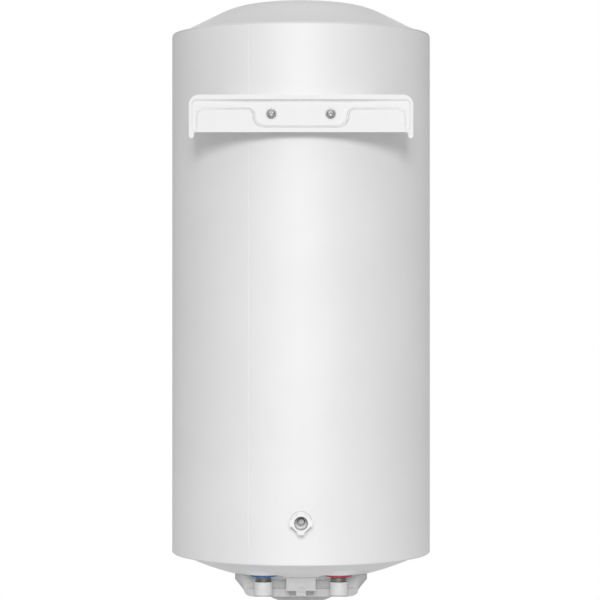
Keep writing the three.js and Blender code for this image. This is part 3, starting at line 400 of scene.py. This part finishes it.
# bottom cap: a shallow dish with a flat seat pressed into it for each pipe
bottomDish = {"height": 39.3, "land": 11.0}
pipes = {"x": 50.0, "y": 99.0, "radius": 10.48, "bore": 7.5, "end": -44.0, "top": 30.0}
seats = {"level": -20.2, "flat": 20.5, "foot": 29.5, "hole": 11.5}
service = {"x": 0.0, "y": -20.0, "radius": 60.0}


def bottomDishAt(r):
    reach, rise = casing["radius"] - bottomDish["land"], bottomDish["height"] - bottomRim["high"]
    sphere = (reach ** 2 + rise ** 2) / (2 * rise)
    return -bottomDish["height"] + sphere - math.sqrt(sphere ** 2 - min(r, reach) ** 2)


def eased(t):
    t = max(0.0, min(1.0, t))
    return t * t * (3 - 2 * t)


def pressSeats(piece, skin):
    # moves the parts of a dish near each pipe to the level of its seat, skin being the sheet behind the outer face
    for vertex in piece.data.vertices:
        x, y, z = local(vertex.co)
        away, plain = math.hypot(abs(x) - pipes["x"], y - pipes["y"]), bottomDishAt(math.hypot(x, y))
        if away < seats["foot"] and abs(z - plain) < 2:
            lift = skin if z > plain + 0.4 else z - plain if skin == 0 else 0
            share = eased((seats["foot"] - away) / (seats["foot"] - seats["flat"]))
            vertex.co = place(x, y, z + share * (seats["level"] + lift - z))


def makeBottomCap():
    reach = casing["radius"] - bottomDish["land"]
    dish = [(reach * i / 56, -bottomDishAt(reach * i / 56)) for i in range(57)]
    profile = [(r, -z) for r, z in capProfile(dish, bottomRim)]
    piece = turned("bottom_cap_pressing", profile, steps=288)
    pressSeats(piece, capRim["sheet"])
    cutAway(piece, turned("hole", bar(service["radius"], -90, 40), (service["x"], service["y"], 0), steps=96),
            *[turned("hole", bar(seats["hole"], -90, 40), (side * pipes["x"], pipes["y"], 0),
                     steps=48) for side in (-1, 1)])
    complete(piece, "capEnamelGreyedAsPaintedShade", "heater", ["bottom_cap"], smooth=30)


makeBottomCap()
print("bottom cap ready")

# wall bracket: one steel pressing, its field sunk round two raised lobes, its ends turned back towards the casing
bracket = {"half": 144.7, "low": 561.1, "height": 48.4, "corner": 13.0, "depth": 40.0, "sheet": 2.4, "back": 196.48,
           "beadFoot": 40.2, "beadRoll": 2.4, "sideRim": 4.3, "tabWidth": 6.4, "tabDrop": 7.8, "fold": 2.2,
           "columns": 330, "rows": 74}
field = {"middle": 4.2, "deepest": 5.2, "deepAt": 64.0, "shallow": 1.1, "shallowAt": 132.0, "wall": 0.5,
         "draft": 0.1, "crease": 2.6, "creaseWidth": 1.0, "beadCrease": 1.0}
lobes = {"inner": 61.2, "outer": 134.6, "top": 29.7, "innerRound": 8.0, "outerRound": 11.0, "strip": 6.6,
         "blend": 16.0,
         "grooveFoot": 3.4, "grooveRound": 2.7}


def roundBox(x, z, low, high, radius):
    # how far a point is outside a rounded rectangle, below nought inside it
    halfX, halfZ = (high[0] - low[0]) / 2, (high[1] - low[1]) / 2
    dx, dz = abs(x - (low[0] + high[0]) / 2) - halfX + radius, abs(z - (low[1] + high[1]) / 2) - halfZ + radius
    return math.hypot(max(dx, 0), max(dz, 0)) + min(max(dx, dz), 0) - radius


def softer(a, b, reach):
    mix = max(reach - abs(a - b), 0) / reach
    return min(a, b) - mix * mix * reach * 0.25


def fieldDepth(x):
    # the pressing is deepest beside the lobes, a little shallower in the middle and runs out towards both ends
    if x < field["deepAt"]:
        return field["middle"] + (field["deepest"] - field["middle"]) * eased(x / field["deepAt"])
    away = eased((x - field["deepAt"]) / (field["shallowAt"] - field["deepAt"]))
    return field["deepest"] + (field["shallow"] - field["deepest"]) * away


def sunkAt(x, z):
    # depth of the pressed field at a point of the plate, z from its lower edge
    x, side = abs(x), bracket["half"] - bracket["sideRim"]
    depth = fieldDepth(x)
    wall = field["wall"] + field["draft"] * depth
    sides = roundBox(x, z, (-side, -40), (side, bracket["beadFoot"] + 3.5), bracket["corner"] - bracket["sideRim"])
    foot = roundBox(x, z, (lobes["outer"], lobes["grooveFoot"]), (side, 60), lobes["grooveRound"])
    corner = lobes["outerRound"] if x > (lobes["inner"] + lobes["outer"]) / 2 else lobes["innerRound"]
    lobe = roundBox(x, z, (lobes["inner"], -60), (lobes["outer"], lobes["top"]), corner)
    strip = max(z - lobes["strip"], x - lobes["inner"] - 20)
    raised = softer(lobe, strip, lobes["blend"])
    inside = min(-sides, raised)
    if x > lobes["outer"] and z < lobes["top"]:
        inside = min(inside, -foot)
    bead = eased((bracket["beadFoot"] + bracket["beadRoll"] - z) / bracket["beadRoll"])
    foot, under = raised - wall / 2, bracket["beadFoot"] - 0.6 - z
    drawn = field["crease"] * math.exp(-((foot / field["creaseWidth"]) ** 2))
    rolled = field["beadCrease"] * math.exp(-((under / field["creaseWidth"]) ** 2))
    crease = max(drawn, rolled) * depth / field["deepest"]
    return (depth * eased(0.5 + inside / wall) + crease * eased(0.5 - sides / wall)) * bead


def makeBracket():
    half, height, corner, back = bracket["half"], bracket["height"], bracket["corner"], bracket["back"]
    fine = [half - 0.5 * i for i in range(int((half - 128) / 0.5))] + [half - bracket["tabWidth"] + 0.02]
    ends = sorted(set([half, half - 0.06, half - 0.2, *fine, half - bracket["tabWidth"] - 0.02]), reverse=True)
    inner = ends[-1]
    spans, rows = bracket["columns"], bracket["rows"]
    middle = [inner - 2 * inner * i / spans for i in range(1, spans)]
    columns = [-x for x in ends] + [-x for x in middle] + ends[::-1]
    bpy.ops.object.select_all(action="DESELECT")
    bpy.ops.mesh.primitive_grid_add(x_subdivisions=len(columns) - 1, y_subdivisions=rows, size=0.1)
    piece = nameIt(bpy.context.object, "hanging_bracket")
    tabR = bracket["tabWidth"] / 2
    for index, vertex in enumerate(piece.data.vertices):
        x = columns[index % len(columns)]
        up = (index // len(columns)) / rows
        past = abs(x) - (half - corner)
        top = height if past < 0 else height - corner + math.sqrt(max(corner ** 2 - past ** 2, 0))
        off = abs(x) - (half - tabR)
        low = 0 if abs(off) > tabR else tabR - bracket["tabDrop"] - math.sqrt(max(tabR ** 2 - off ** 2, 0))
        z = low + (top - low) * up
        vertex.co = place(x, back - sunkAt(x, z), bracket["low"] + z)
    onlySelect(piece)
    bpy.ops.object.mode_set(mode="EDIT")
    bpy.ops.mesh.select_all(action="SELECT")
    bpy.ops.mesh.normals_make_consistent(inside=False)
    bpy.ops.mesh.select_mode(type="EDGE")
    bpy.ops.mesh.select_all(action="DESELECT")
    bpy.ops.object.mode_set(mode="OBJECT")
    if piece.data.polygons[0].normal.y < 0:
        piece.data.flip_normals()
    count = len(columns)
    for edge in piece.data.edges:  # the top and both ends, not the lower edge
        a, b = edge.vertices
        onTop = min(a, b) >= count * rows and abs(a - b) == 1
        onEnd = abs(a - b) == count and a % count in (0, count - 1)
        edge.select = onTop or onEnd
    bpy.ops.object.mode_set(mode="EDIT")
    fold = bracket["fold"]
    for near, far in ((0, fold), (fold, bracket["depth"])):
        bpy.ops.mesh.extrude_edges_move(TRANSFORM_OT_translate={"value": (0, (near - far) / 1000, 0)})
    bpy.ops.object.mode_set(mode="OBJECT")
    applyModifier(piece, "BEVEL", width=fold * 0.9 / 1000, segments=4, limit_method="ANGLE",
                  angle_limit=math.radians(60),
                  use_clamp_overlap=True)
    applyModifier(piece, "SOLIDIFY", thickness=bracket["sheet"] / 1000, offset=-1, use_even_offset=False)
    cutAway(piece, turned("drum", bar(casing["radius"] + 0.6, 500, 680), steps=240),
            *[turned("hole", bar(screws["hole"], 150, 200), (side * screws["x"], 0, screws["z"]), "Y",
                     32) for side in (-1, 1)])
    complete(piece, "satinPowderCoat", "heater", ["wall_bracket"], smooth=40)


# bracket screws: domed heads with a cross recess
screws = {"x": 38.3, "z": 585.2, "seat": 191.8, "head": 6.6, "rise": 3.4, "shank": 3.0, "length": 16.0,
          "brim": 0.8, "pan": 5.3, "cross": 3.0, "slot": 1.2, "depth": 2.0, "hole": 3.4}


def makeScrew(name, replaced, side):
    seat, head, rise = screws["seat"], screws["head"], screws["rise"]
    brim, pan = screws["brim"], screws["pan"]
    dome = [(head, seat + 0.15), (head, seat + brim), (head - 0.3, seat + brim + 0.2), (pan + 0.3, seat + brim + 0.3),
            *[(pan * math.cos(a) ** 0.6, seat + brim + 0.3 + (rise - brim - 0.3) * math.sin(a))
              for a in [math.radians(12 * i) for i in range(8)]], (0, seat + rise)]
    shank = [(0, seat - screws["length"]), (screws["shank"] - 0.8, seat - screws["length"]),
             (screws["shank"], seat - screws["length"] + 1), (screws["shank"], seat + 0.15)]
    piece = turned(name, [*shank, *dome], (side * screws["x"], 0, screws["z"]), "Y", 48)
    x, z, cross, slot = side * screws["x"], screws["z"], screws["cross"], screws["slot"] / 2
    low, high = seat + rise - screws["depth"], seat + rise + 1
    wings = [box("slot", (x - cross, low, z - slot), (x + cross, high, z + slot)),
             box("slot", (x - slot, low, z - cross), (x + slot, high, z + cross))]
    socket = turned("socket", [(0, low - 0.4), (0.5, low - 0.4), (1.5, high), (0, high)], (x, 0, z), "Y", 24)
    cutAway(piece, *wings, socket)
    complete(piece, "zincPlatedSteel", "heater", [replaced], bevel=0.12, segments=2, smooth=30)


makeBracket()
for screwSide, screwNode in ((1, "bracket_screw_cold_side"), (-1, "bracket_screw_hot_side")):
    makeScrew(screwNode.replace("bracket", "bracket_pan"), screwNode, screwSide)
print("bracket ready")

# wall spacer: a hollow screw-out foot with four lobes to grip, and the stud behind it
spacer = {"z": 56.3, "face": 196.48, "bore": 9.1, "outer": 10.9, "across": 14.8, "lobe": 4.3, "head": 12.0,
          "tail": 34.0,
          "web": 5.0, "nut": 4.9, "octagon": 12.9, "edge": 0.5}
stud = {"radius": 4.6, "low": 151.3, "high": 174.0, "pitch": 1.5, "depth": 0.7, "threadLow": 158.0}


def makeSpacer():
    z, face, head = spacer["z"], spacer["face"], spacer["face"] - spacer["head"]
    piece = turned("spacer_foot_moulding", bar(spacer["outer"], face - spacer["tail"], face), (0, 0, z), "Y", 72)
    web = turned("web", tube(spacer["octagon"], spacer["bore"] + 0.6, head + 0.6, face - 2.2), (0, 0, z), "Y", 8)
    bpy.ops.transform.rotate(value=math.radians(22.5), orient_axis="Y", center_override=place(0, 0, z))
    bpy.ops.object.transform_apply(location=True, rotation=True, scale=True)
    across, lobe = spacer["across"], spacer["lobe"]
    arms = [box("arm", (-across, head, z - lobe), (across, face, z + lobe)),
            box("arm", (-lobe, head, z - across), (lobe, face, z + across))]
    weldOn(piece, web, *arms)
    webBack = face - spacer["tail"]
    cutAway(piece, turned("bore", bar(spacer["bore"], webBack + spacer["web"], face + 5), (0, 0, z), "Y", 72),
            turned("nut", bar(spacer["nut"], webBack - 5, webBack + spacer["web"] + 1), (0, 0, z), "Y", 36))
    complete(piece, "mouldedWhitePolyamide", "spacer_foot", ["wall_spacer"], bevel=spacer["edge"])


def makeStud():
    radius, low, high, pitch = stud["radius"], stud["low"], stud["high"], stud["pitch"]
    root = radius - stud["depth"]
    points = [(0, low), (radius, low), (radius, stud["threadLow"])]
    count = int((high - 1.2 - stud["threadLow"]) / pitch)
    for turn in range(count):
        start = stud["threadLow"] + turn * pitch
        points += [(root, start + 0.45 * pitch), (radius, start + 0.9 * pitch)]
    points += [(radius, high - 0.8), (radius - 0.8, high), (0, high)]
    complete(turned("spacer_stud_thread", points, (0, 0, spacer["z"]), "Y", 32), "zincPlatedSteel", "heater",
             ["spacer_stud"], smooth=25)


makeSpacer()
makeStud()
print("spacer ready")

# pipe ends: half-inch thread, coloured ring and a pull-off cap on each
thread = {"pitch": 1.814, "depth": 1.16, "low": -43.2, "turns": 11, "tilt": 0.35}
ring = {"radius": 18.3, "hole": 10.78, "top": -20.5, "thick": 2.0}
cap = {"radius": 12.0, "bore": 10.68, "top": -30.1, "bottom": -48.1, "floor": 1.5}


def makePipeEnd(side, pipeNode, ringNode, capNode, body, ringMaterial, tag):
    centre = (side * pipes["x"], pipes["y"], 0)
    root = pipes["radius"] - thread["depth"]
    points = [(pipes["bore"], pipes["end"]), (pipes["radius"] - 0.7, pipes["end"]),
              (pipes["radius"] - 0.35, pipes["end"] + 0.4)]
    for turn in range(thread["turns"]):
        low = thread["low"] + turn * thread["pitch"]
        points += [(root, low + 0.35), (root, low + 0.5), (pipes["radius"], low + 1.25),
                   (pipes["radius"], low + 1.55)]
    points += [(pipes["radius"], pipes["top"]), (pipes["bore"], pipes["top"])]
    pipe = turned(tag + "_pipe_end", points, centre, steps=64)
    threadLow, threadTop = thread["low"] + 0.2, thread["low"] + thread["turns"] * thread["pitch"]
    for vertex in pipe.data.vertices:  # each groove is tilted a little, so the rings read as one screw thread
        x, y, z = local(vertex.co)
        offX, offY = x - centre[0], y - centre[1]
        if threadLow < z < threadTop and math.hypot(offX, offY) > pipes["bore"] + 0.5:
            vertex.co = place(x, y, z + math.atan2(offY, offX) / math.tau * thread["tilt"])
    complete(pipe, "cutThreadSteel", "heater", [pipeNode], smooth=30)

    top, thick = ring["top"], ring["thick"]
    washer = turned(tag + "_marking_ring", tube(ring["radius"], ring["hole"], top - thick, top), centre, steps=96)
    complete(washer, ringMaterial, "heater", [ringNode], bevel=0.45)

    radius, bore, high, low = cap["radius"], cap["bore"], cap["top"], cap["bottom"]
    wall = [(radius - 1.2, low), *curve(radius - 1.4, low + 1.4, 1.4, -80, 0, 5), (radius, high - 0.3),
            (radius - 0.3, high),
            (bore + 0.2, high), (bore, high - 0.2), (bore, low + cap["floor"]), (0, low + cap["floor"]), (0, low)]
    cup = turned(tag + "_thread_cap_moulding", wall, centre, steps=96)
    complete(cup, "waxyWhitePolyethylene", body, [capNode], smooth=30)


makePipeEnd(1, "cold_inlet_pipe", "cold_ring_blue", "cold_thread_cap", "cold_cap", "blueDyedNylon",
            "cold")
makePipeEnd(-1, "hot_outlet_pipe", "hot_ring_red", "hot_thread_cap", "hot_cap", "redDyedNylon", "hot")
print("pipe ends ready")

# bottom cover: a moulded tray under the wiring, with a cable housing between the pipes
cover = {"half": 89.2, "back": 76.0, "front": -112.0, "wall": 2.2, "shoulder": -32.3, "slantHalf": 76.2,
         "slantZ": -47.0,
         "floor": -53.2, "floorHalf": 62.7, "frontRun": 34.0, "corner": 26.0, "middle": -18.0, "edge": 0.9,
         "room": 0.2}
housing = {"half": 19.5, "back": 105.0, "bottom": -41.8, "wall": 2.4, "hole": 6.0, "tongueHalf": 6.4,
           "tongueEnd": -49.0,
           "tongueThick": 3.0, "grooves": (-37.9, -43.3), "grooveHalf": 4.5, "grooveDeep": 0.6}
latch = {"width": 8.3, "top": -46.4, "bottom": -51.2, "aside": 7.6, "depth": 1.5}
ledge = {"level": -42.6, "depth": 3.0}
bulge = {"y": -10.0, "radius": 44.0, "flat": 22.0, "depth": 15.5, "shaftHole": 4.4}
coverScrew = {"x": 66.0, "y": -12.0, "seat": -38.0, "hole": 2.3, "room": 4.8, "cup": 7.0}
lamps = {"x": 27.0, "radius": 4.0, "length": 15.0, "lens": 2.2}


def coverPlan(inset):
    half, back, corner = cover["half"] - inset, cover["back"] - inset, cover["corner"] - inset
    right = curve(half - corner, back - corner, corner, 0, 90, 16)
    left = curve(-half + corner, back - corner, corner, 90, 180, 16)
    run = cover["middle"] - cover["front"] - inset
    front = [(half * math.cos(a), cover["middle"] + run * math.sin(a))
             for a in [math.radians(180 + 180 * i / 64) for i in range(65)]]
    rightSide = [(half, cover["middle"] + (back - corner - cover["middle"]) * i / 8) for i in range(1, 8)]
    leftSide = [(-x, y) for x, y in rightSide[::-1]]
    backSide = [(half - corner - 2 * (half - corner) * i / 16, back) for i in range(1, 16)]
    return [*right, *backSide, *left, *leftSide, *front, *rightSide]


def coverLimits(z, inset):
    # how wide the cover is and how far forward it reaches at a height
    half, floorZ = cover["half"] - inset, cover["floor"] + inset
    slantHalf, slantZ = cover["slantHalf"] - inset, cover["slantZ"] + inset * 0.6
    if z >= cover["shoulder"]:
        wide = half
    elif z >= slantZ:
        wide = half + (slantHalf - half) * (cover["shoulder"] - z) / (cover["shoulder"] - slantZ)
    else:
        down = (slantZ - z) / (slantZ - floorZ)
        wide = slantHalf - (slantHalf - cover["floorHalf"] + inset * 0.6) * (1 - math.sqrt(max(1 - down ** 2, 0)))
    ahead = cover["front"] + inset
    share = max(0, min(1, (cover["shoulder"] - z) / (cover["shoulder"] - floorZ)))
    return wide, ahead + cover["frontRun"] * share


def coverSolid(name, inset):
    plan = coverPlan(inset)
    slantZ, floorZ = cover["slantZ"] + inset * 0.6, cover["floor"] + inset
    rounded = [slantZ + (floorZ - slantZ) * math.sin(math.radians(18 * i)) for i in range(1, 6)]
    levels = [-2, cover["shoulder"], slantZ, *rounded]

    def shaped(z):
        wide, ahead = coverLimits(z, inset)
        return [(max(-wide, min(wide, x)), max(ahead, y), z) for x, y in plan]

    piece = outline(name, shaped(levels[0]))
    onlySelect(piece)
    count = len(plan)
    for z in levels[1:]:
        bpy.ops.object.mode_set(mode="EDIT")
        bpy.ops.mesh.extrude_edges_move(TRANSFORM_OT_translate={"value": (0, 0, -0.001)})
        bpy.ops.object.mode_set(mode="OBJECT")
        for vertex, point in zip(list(piece.data.vertices)[-count:], shaped(z)):
            vertex.co = place(*point)
    bpy.ops.object.mode_set(mode="EDIT")
    bpy.ops.mesh.edge_face_add()
    bpy.ops.mesh.select_mode(type="VERT")
    bpy.ops.mesh.select_all(action="DESELECT")
    bpy.ops.object.mode_set(mode="OBJECT")
    for vertex in list(piece.data.vertices)[:count]:
        vertex.select = True
    bpy.ops.object.mode_set(mode="EDIT")
    bpy.ops.mesh.edge_face_add()
    bpy.ops.mesh.select_all(action="SELECT")
    bpy.ops.mesh.remove_doubles(threshold=1e-6)
    bpy.ops.mesh.normals_make_consistent(inside=False)
    bpy.ops.object.mode_set(mode="OBJECT")
    return piece


def bulgeSolid(name, inset):
    low, floorZ, y = cover["floor"] - bulge["depth"] + inset, cover["floor"], bulge["y"]
    flat, radius = bulge["flat"], bulge["radius"] - inset
    profile = [(0, low), (flat, low), (flat + 5, low + 0.3), (radius - 12, low + 1.2), (radius - 8, low + 2.3),
               (radius - 4, low + 3.9), (radius - 2, low + 5.2), (radius - 0.8, low + 7), (radius, floorZ - 1.2),
               (radius + 0.8, floorZ + 3), (0, floorZ + 3)]
    return turned(name, profile, (0, y, 0), steps=96)


def onSlope(piece, side):
    # turns a piece made about the axis at nought so that it points out of the cover's sloping front
    run, drop = cover["frontRun"], cover["shoulder"] - cover["floor"]
    tilt = math.atan2(run, drop)
    spot = place(side * lamps["x"], cover["front"] + run / 2 + 4, cover["shoulder"] - drop / 2 - 3)
    turn = Matrix.Rotation(math.pi / 2 + tilt, 4, "X")
    piece.data.transform(Matrix.Translation(spot) @ turn @ Matrix.Translation(-place(0, 0, 0)))
    return piece


def makeCover():
    half, back, low = housing["half"], housing["back"], housing["bottom"]
    skin = housing["wall"]
    piece = coverSolid("service_cover", 0)
    wallY, level, depth, wall = cover["back"], ledge["level"], ledge["depth"], cover["wall"]
    steps = [box("step", (left, wallY - depth, level), (right, wallY + 10, 5))
             for left, right in ((-200, -half), (half, 200))]
    cutAway(piece, *steps)
    weldOn(piece, bulgeSolid("bulge", 0), box("housing", (-half, wallY - 30, low), (half, back, -2)))
    hollow = coverSolid("hollow", wall)
    cutAway(hollow, box("step", (-200, wallY - depth - wall, level - wall), (200, wallY + 10, 5)))
    weldOn(hollow, bulgeSolid("bulgeHollow", wall),
           box("housingHollow", (skin - half, wallY - 40, low + skin), (half - skin, back - skin, 5)))
    cutAway(piece, hollow)
    weldOn(piece, box("tongue", (-housing["tongueHalf"], back - housing["tongueThick"], housing["tongueEnd"]),
                      (housing["tongueHalf"], back, low + 1)))
    for side in (-1, 1):
        centre = (side * coverScrew["x"], coverScrew["y"], 0)
        weldOn(piece, turned("post", bar(coverScrew["cup"], cover["floor"] + 0.4, coverScrew["seat"] + 3), centre,
                             steps=32))
        inner = latch["aside"] if side > 0 else -latch["aside"] - latch["width"]
        tools = [turned("room", bar(coverScrew["room"], -90, coverScrew["seat"]), centre, steps=32),
                 turned("hole", bar(coverScrew["hole"], -90, 20), centre, steps=24),
                 box("pocket", (inner, wallY - latch["depth"], latch["bottom"]),
                     (inner + latch["width"], wallY + 4, latch["top"])),
                 onSlope(turned("lampHole", bar(lamps["radius"] + 0.3, -30, 30), steps=32), side)]
        cutAway(piece, *tools)
    long, deep = housing["grooveHalf"], housing["grooveDeep"]
    for z in housing["grooves"]:
        cutAway(piece, box("groove", (-long, back - deep, z - deep), (long, back + 1, z + deep)))
    reach = casing["radius"] - bottomDish["land"]
    above = [(reach * i / 56, bottomDishAt(reach * i / 56) - cover["room"]) for i in range(57)]
    dish = turned("dish", [*above, (reach, 30), (0, 30)], steps=288)
    pressSeats(dish, 0)
    cutAway(piece, dish,
            turned("hole", bar(housing["hole"], -90, low + 5), (0, back - 15, 0), steps=32),
            turned("hole", bar(bulge["shaftHole"], -90, 0), (0, bulge["y"], 0), steps=32))
    complete(piece, "polypropyleneGreyedAsPaintedShade", "heater", ["bottom_cover"], bevel=cover["edge"],
             smooth=35,
             sharpest=28)


makeCover()
print("cover ready")

# thermostat knob under the cover, with a grip bar and a printed mark
knob = {"y": -10.0, "top": -69.0, "radius": 20.0, "flare": 22.0, "height": 13.0, "grip": 4.0}


def makeKnob():
    top, radius, flare = knob["top"] - 0.4, knob["radius"], knob["flare"]
    low = knob["top"] - knob["height"] + 0.12
    centre = (0, knob["y"], 0)
    side = [(flare, top), (flare, top - 0.8), *curve(flare - 1, top - 1.2, 1, 0, -60, 3), (radius + 0.6, top - 2.2),
            (radius, top - 3.4), (radius - 0.6, low + 2), *curve(radius - 2.2, low + 1.6, 1.6, 0, -90, 5)]
    piece = turned("knob_moulding", [(0, top), *side, (0, low)], centre, steps=96)
    grip, y = knob["grip"], knob["y"]
    for way in (-1, 1):
        near, far = (y + grip, y + 40) if way > 0 else (y - 40, y - grip)
        scoop = box("scoop", (-15, near, low - 2), (15, far, top - 4.5))
        applyModifier(scoop, "BEVEL", width=0.003, segments=5, limit_method="ANGLE", angle_limit=math.radians(40))
        cutAway(piece, scoop)
    # the knob takes the cover's grey, painted shade as on the cover, since it hangs in the same shadow
    complete(piece, "polypropyleneGreyedAsPaintedShade", "knob", ["temperature_knob"], bevel=0.6)
    mark = box("knob_printed_mark", (9, y - 0.7, low - 0.09), (17.5, y + 0.7, low - 0.01))
    complete(mark, "darkPrintInk", "knob")


makeKnob()
print("knob ready")

# pilot lamps in the sloping front of the cover
def makeLamp(name, node, side, material):
    radius, lens = lamps["radius"], lamps["lens"]
    dome = [(radius * math.cos(a), 1 + (lens - 0.4) * math.sin(a)) for a in [math.radians(15 * i) for i in range(6)]]
    profile = [(0, -lamps["length"]), (radius - 0.3, -lamps["length"]), (radius, -lamps["length"] + 0.3), *dome,
               (0, 1 + lens - 0.4)]
    piece = onSlope(turned(name, profile, steps=40), side)
    complete(piece, material, "heater", [node], smooth=30)


makeLamp("power_lamp_lens", "power_lamp", 1, "greenLampLens")
makeLamp("heating_lamp_lens", "heating_lamp", -1, "redLampLens")
print("lamps ready")

# dial thermometer on the front: a turned bezel, and a scale printed on the dial
dial = {"sweep": 270.0, "steps": 40, "long": 3.0, "short": 1.7, "wide": 0.45, "thin": 0.22, "margin": 1.2,
        "ink": 0.08,
        "letter": 3.4, "top": 80}


def makeDialPrint():
    (lowX, face, lowZ), (highX, _, highZ) = local(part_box("gauge_dial")[0]), local(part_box("gauge_dial")[1])
    centreX, centreZ, reach = (lowX + highX) / 2, (lowZ + highZ) / 2, (highX - lowX) / 2 - dial["margin"]
    near, far = face - dial["ink"] - 0.01, face - 0.01
    marks = []
    for step in range(dial["steps"] + 1):
        whole = step % 5 == 0
        turn = math.radians(dial["sweep"] * (step / dial["steps"] - 0.5))
        length, width = (dial["long"], dial["wide"]) if whole else (dial["short"], dial["thin"])
        mark = box("tick", (centreX - width / 2, near, centreZ + reach - length),
                   (centreX + width / 2, far, centreZ + reach))
        onlySelect(mark)
        bpy.ops.transform.rotate(value=-turn, orient_axis="Y", center_override=place(centreX, face, centreZ))
        marks.append(mark)
        if whole and step % 10 == 0:
            away = reach - dial["long"] - dial["letter"] * 0.8
            spot = place(centreX + away * math.sin(turn), far, centreZ + away * math.cos(turn))
            bpy.ops.object.text_add(location=spot, rotation=(math.pi / 2, 0, 0))
            text = bpy.context.object
            text.data.body = str(dial["top"] * step // dial["steps"])
            text.data.size, text.data.extrude = dial["letter"] / 1000, dial["ink"] / 2000
            text.data.align_x, text.data.align_y = "CENTER", "CENTER"
            text.location.y -= dial["ink"] / 2000
            onlySelect(text)
            bpy.ops.object.convert(target="MESH")
            marks.append(bpy.context.object)
    onlySelect(*marks)
    bpy.ops.object.join()
    complete(nameIt(bpy.context.object, "dial_printed_scale"), "darkPrintInk", "heater")


bezel = {"z": 150.0, "inner": 20.8, "lip": 23.0, "outer": 25.98, "seat": 0.72, "ledge": 2.0, "proud": 3.98,
         "round": 1.5}


def makeBezel():
    outer, proud, rounding = bezel["outer"], bezel["proud"], bezel["round"]
    section = [(bezel["inner"], bezel["ledge"]), (bezel["lip"], bezel["seat"]), (outer, bezel["seat"]),
               *curve(outer - rounding, proud - rounding, rounding, 0, 90, 6), (bezel["lip"] + 0.4, proud),
               (bezel["lip"] - 0.4, proud - 0.35), (bezel["inner"] + 0.5, bezel["ledge"] + 0.85),
               (bezel["inner"], bezel["ledge"] + 0.55)]
    profile = [(r, -casing["radius"] - out) for r, out in section]
    piece = turned("gauge_bezel_ring", profile, (0, 0, bezel["z"]), "Y", 96)
    complete(piece, "chromedTrim", "heater", ["gauge_bezel"], smooth=40)


makeBezel()
makeDialPrint()
print("dial ready")

# nodes of the frame that keep their own shape
kept = {
    "rolledTankSteel": ["tank_shell", "tank_top_head", "tank_bottom_head", "flange_neck", "bracket_boss_hot_side",
                        "bracket_boss_cold_side"],
    "zincPlatedSteel": ["flange_plate", "cover_screw_hot_side", "cover_screw_cold_side", "element_terminal_1",
                        "element_terminal_2", "thermostat_shaft", "hot_dip_tube",
                        *[f"flange_bolt_{i}" for i in range(1, 6)]],
    "pouredFoam": ["foam_insulation"],
    "drawnCopper": ["heating_element", "thermowell", "thermostat_bulb"],
    "extrudedMagnesium": ["anode_rod"],
    "mouldedRubber": ["flange_gasket"],
    "blackPhenolic": ["thermostat", "thermal_cutout", "gauge_case"],
    "redDyedNylon": ["reset_button", "gauge_pointer"],
    "mouldedWhitePolyamide": ["spacer_socket", "terminal_block", "cold_diffuser"],
    "printedDialCard": ["gauge_dial"],
    "clearAcrylic": ["gauge_lens"],
    "brownWireSkin": ["live_wire"],
    "blueWireSkin": ["neutral_wire"],
}
for material, members in kept.items():
    for member in members:
        nodes[member].data.materials.clear()
        nodes[member].data.materials.append(materials[material])
print("kept nodes painted")

# studio: pale floor, a soft high light on the wall side and one on the front, and an even sky
studio = {"floorZ": -325.0, "floorSize": 3.6, "sky": 0.61, "sideShare": 0.48, "tilt": 17.0, "soft": 16.0,
          "rear": 1.3, "panel": 1.8, "front": 55.0}


def addLamp(name, kind, spot, strength):
    data = bpy.data.lights.new(name, kind)
    data.energy = strength
    if kind == "SUN":
        data.angle = math.radians(studio["soft"])
    else:
        data.size = studio["panel"]
    lamp = bpy.data.objects.new(name, data)
    bpy.context.scene.collection.objects.link(lamp)
    lamp.location = spot
    lamp.rotation_euler = (place(0, 0, camera["height"]) - spot).to_track_quat("-Z", "Y").to_euler()


def makeStudio():
    bpy.ops.object.select_all(action="DESELECT")
    bpy.ops.mesh.primitive_plane_add(size=studio["floorSize"], location=place(0, 0, studio["floorZ"]))
    floor = nameIt(bpy.context.object, "floor")
    floorPaint = {"colours": ("#f4f4f4", "#f1f1f1"), "grainMm": 8, "reliefMm": 0.05, "roughness": (0.6, 0.75),
                  "cloudMm": 400}
    floor.data.materials.append(finish("palePaintedFloor", floorPaint))
    rise = 4000 * math.tan(math.radians(studio["tilt"]))
    addLamp("wallSideKey", "SUN", place(0, 4000, camera["height"] + rise), studio["rear"])
    addLamp("frontPanel", "AREA", place(0, -3900, 1000), studio["front"])
    world = bpy.data.worlds.new("studio")
    bpy.context.scene.world = world
    world.use_nodes = True
    tree = world.node_tree
    seen = addNode(tree, "ShaderNodeBackground", {"Color": (1, 1, 1, 1), "Strength": 1.0})
    # the sky falls off towards both sides, as it does between dark studio walls
    direction = addNode(tree, "ShaderNodeSeparateXYZ", {},
                        {0: addNode(tree, "ShaderNodeTexCoord").outputs["Generated"]})
    squared = addNode(tree, "ShaderNodeMath", {"operation": "POWER", 1: 2.0}, {0: direction.outputs["X"]})
    falling = addNode(tree, "ShaderNodeMapRange",
                      {"To Min": studio["sky"], "To Max": studio["sky"] * studio["sideShare"]},
                      {"Value": squared.outputs[0]})
    filling = addNode(tree, "ShaderNodeBackground", {"Color": (1, 1, 1, 1)}, {"Strength": falling.outputs["Result"]})
    ray = addNode(tree, "ShaderNodeLightPath")
    mix = addNode(tree, "ShaderNodeMixShader", {},
                  {0: ray.outputs["Is Camera Ray"], 1: filling.outputs[0], 2: seen.outputs[0]})
    tree.links.new(mix.outputs[0], tree.nodes["World Output"].inputs["Surface"])
    bpy.context.scene.view_settings.view_transform = "Standard"


makeStudio()
print("studio ready")
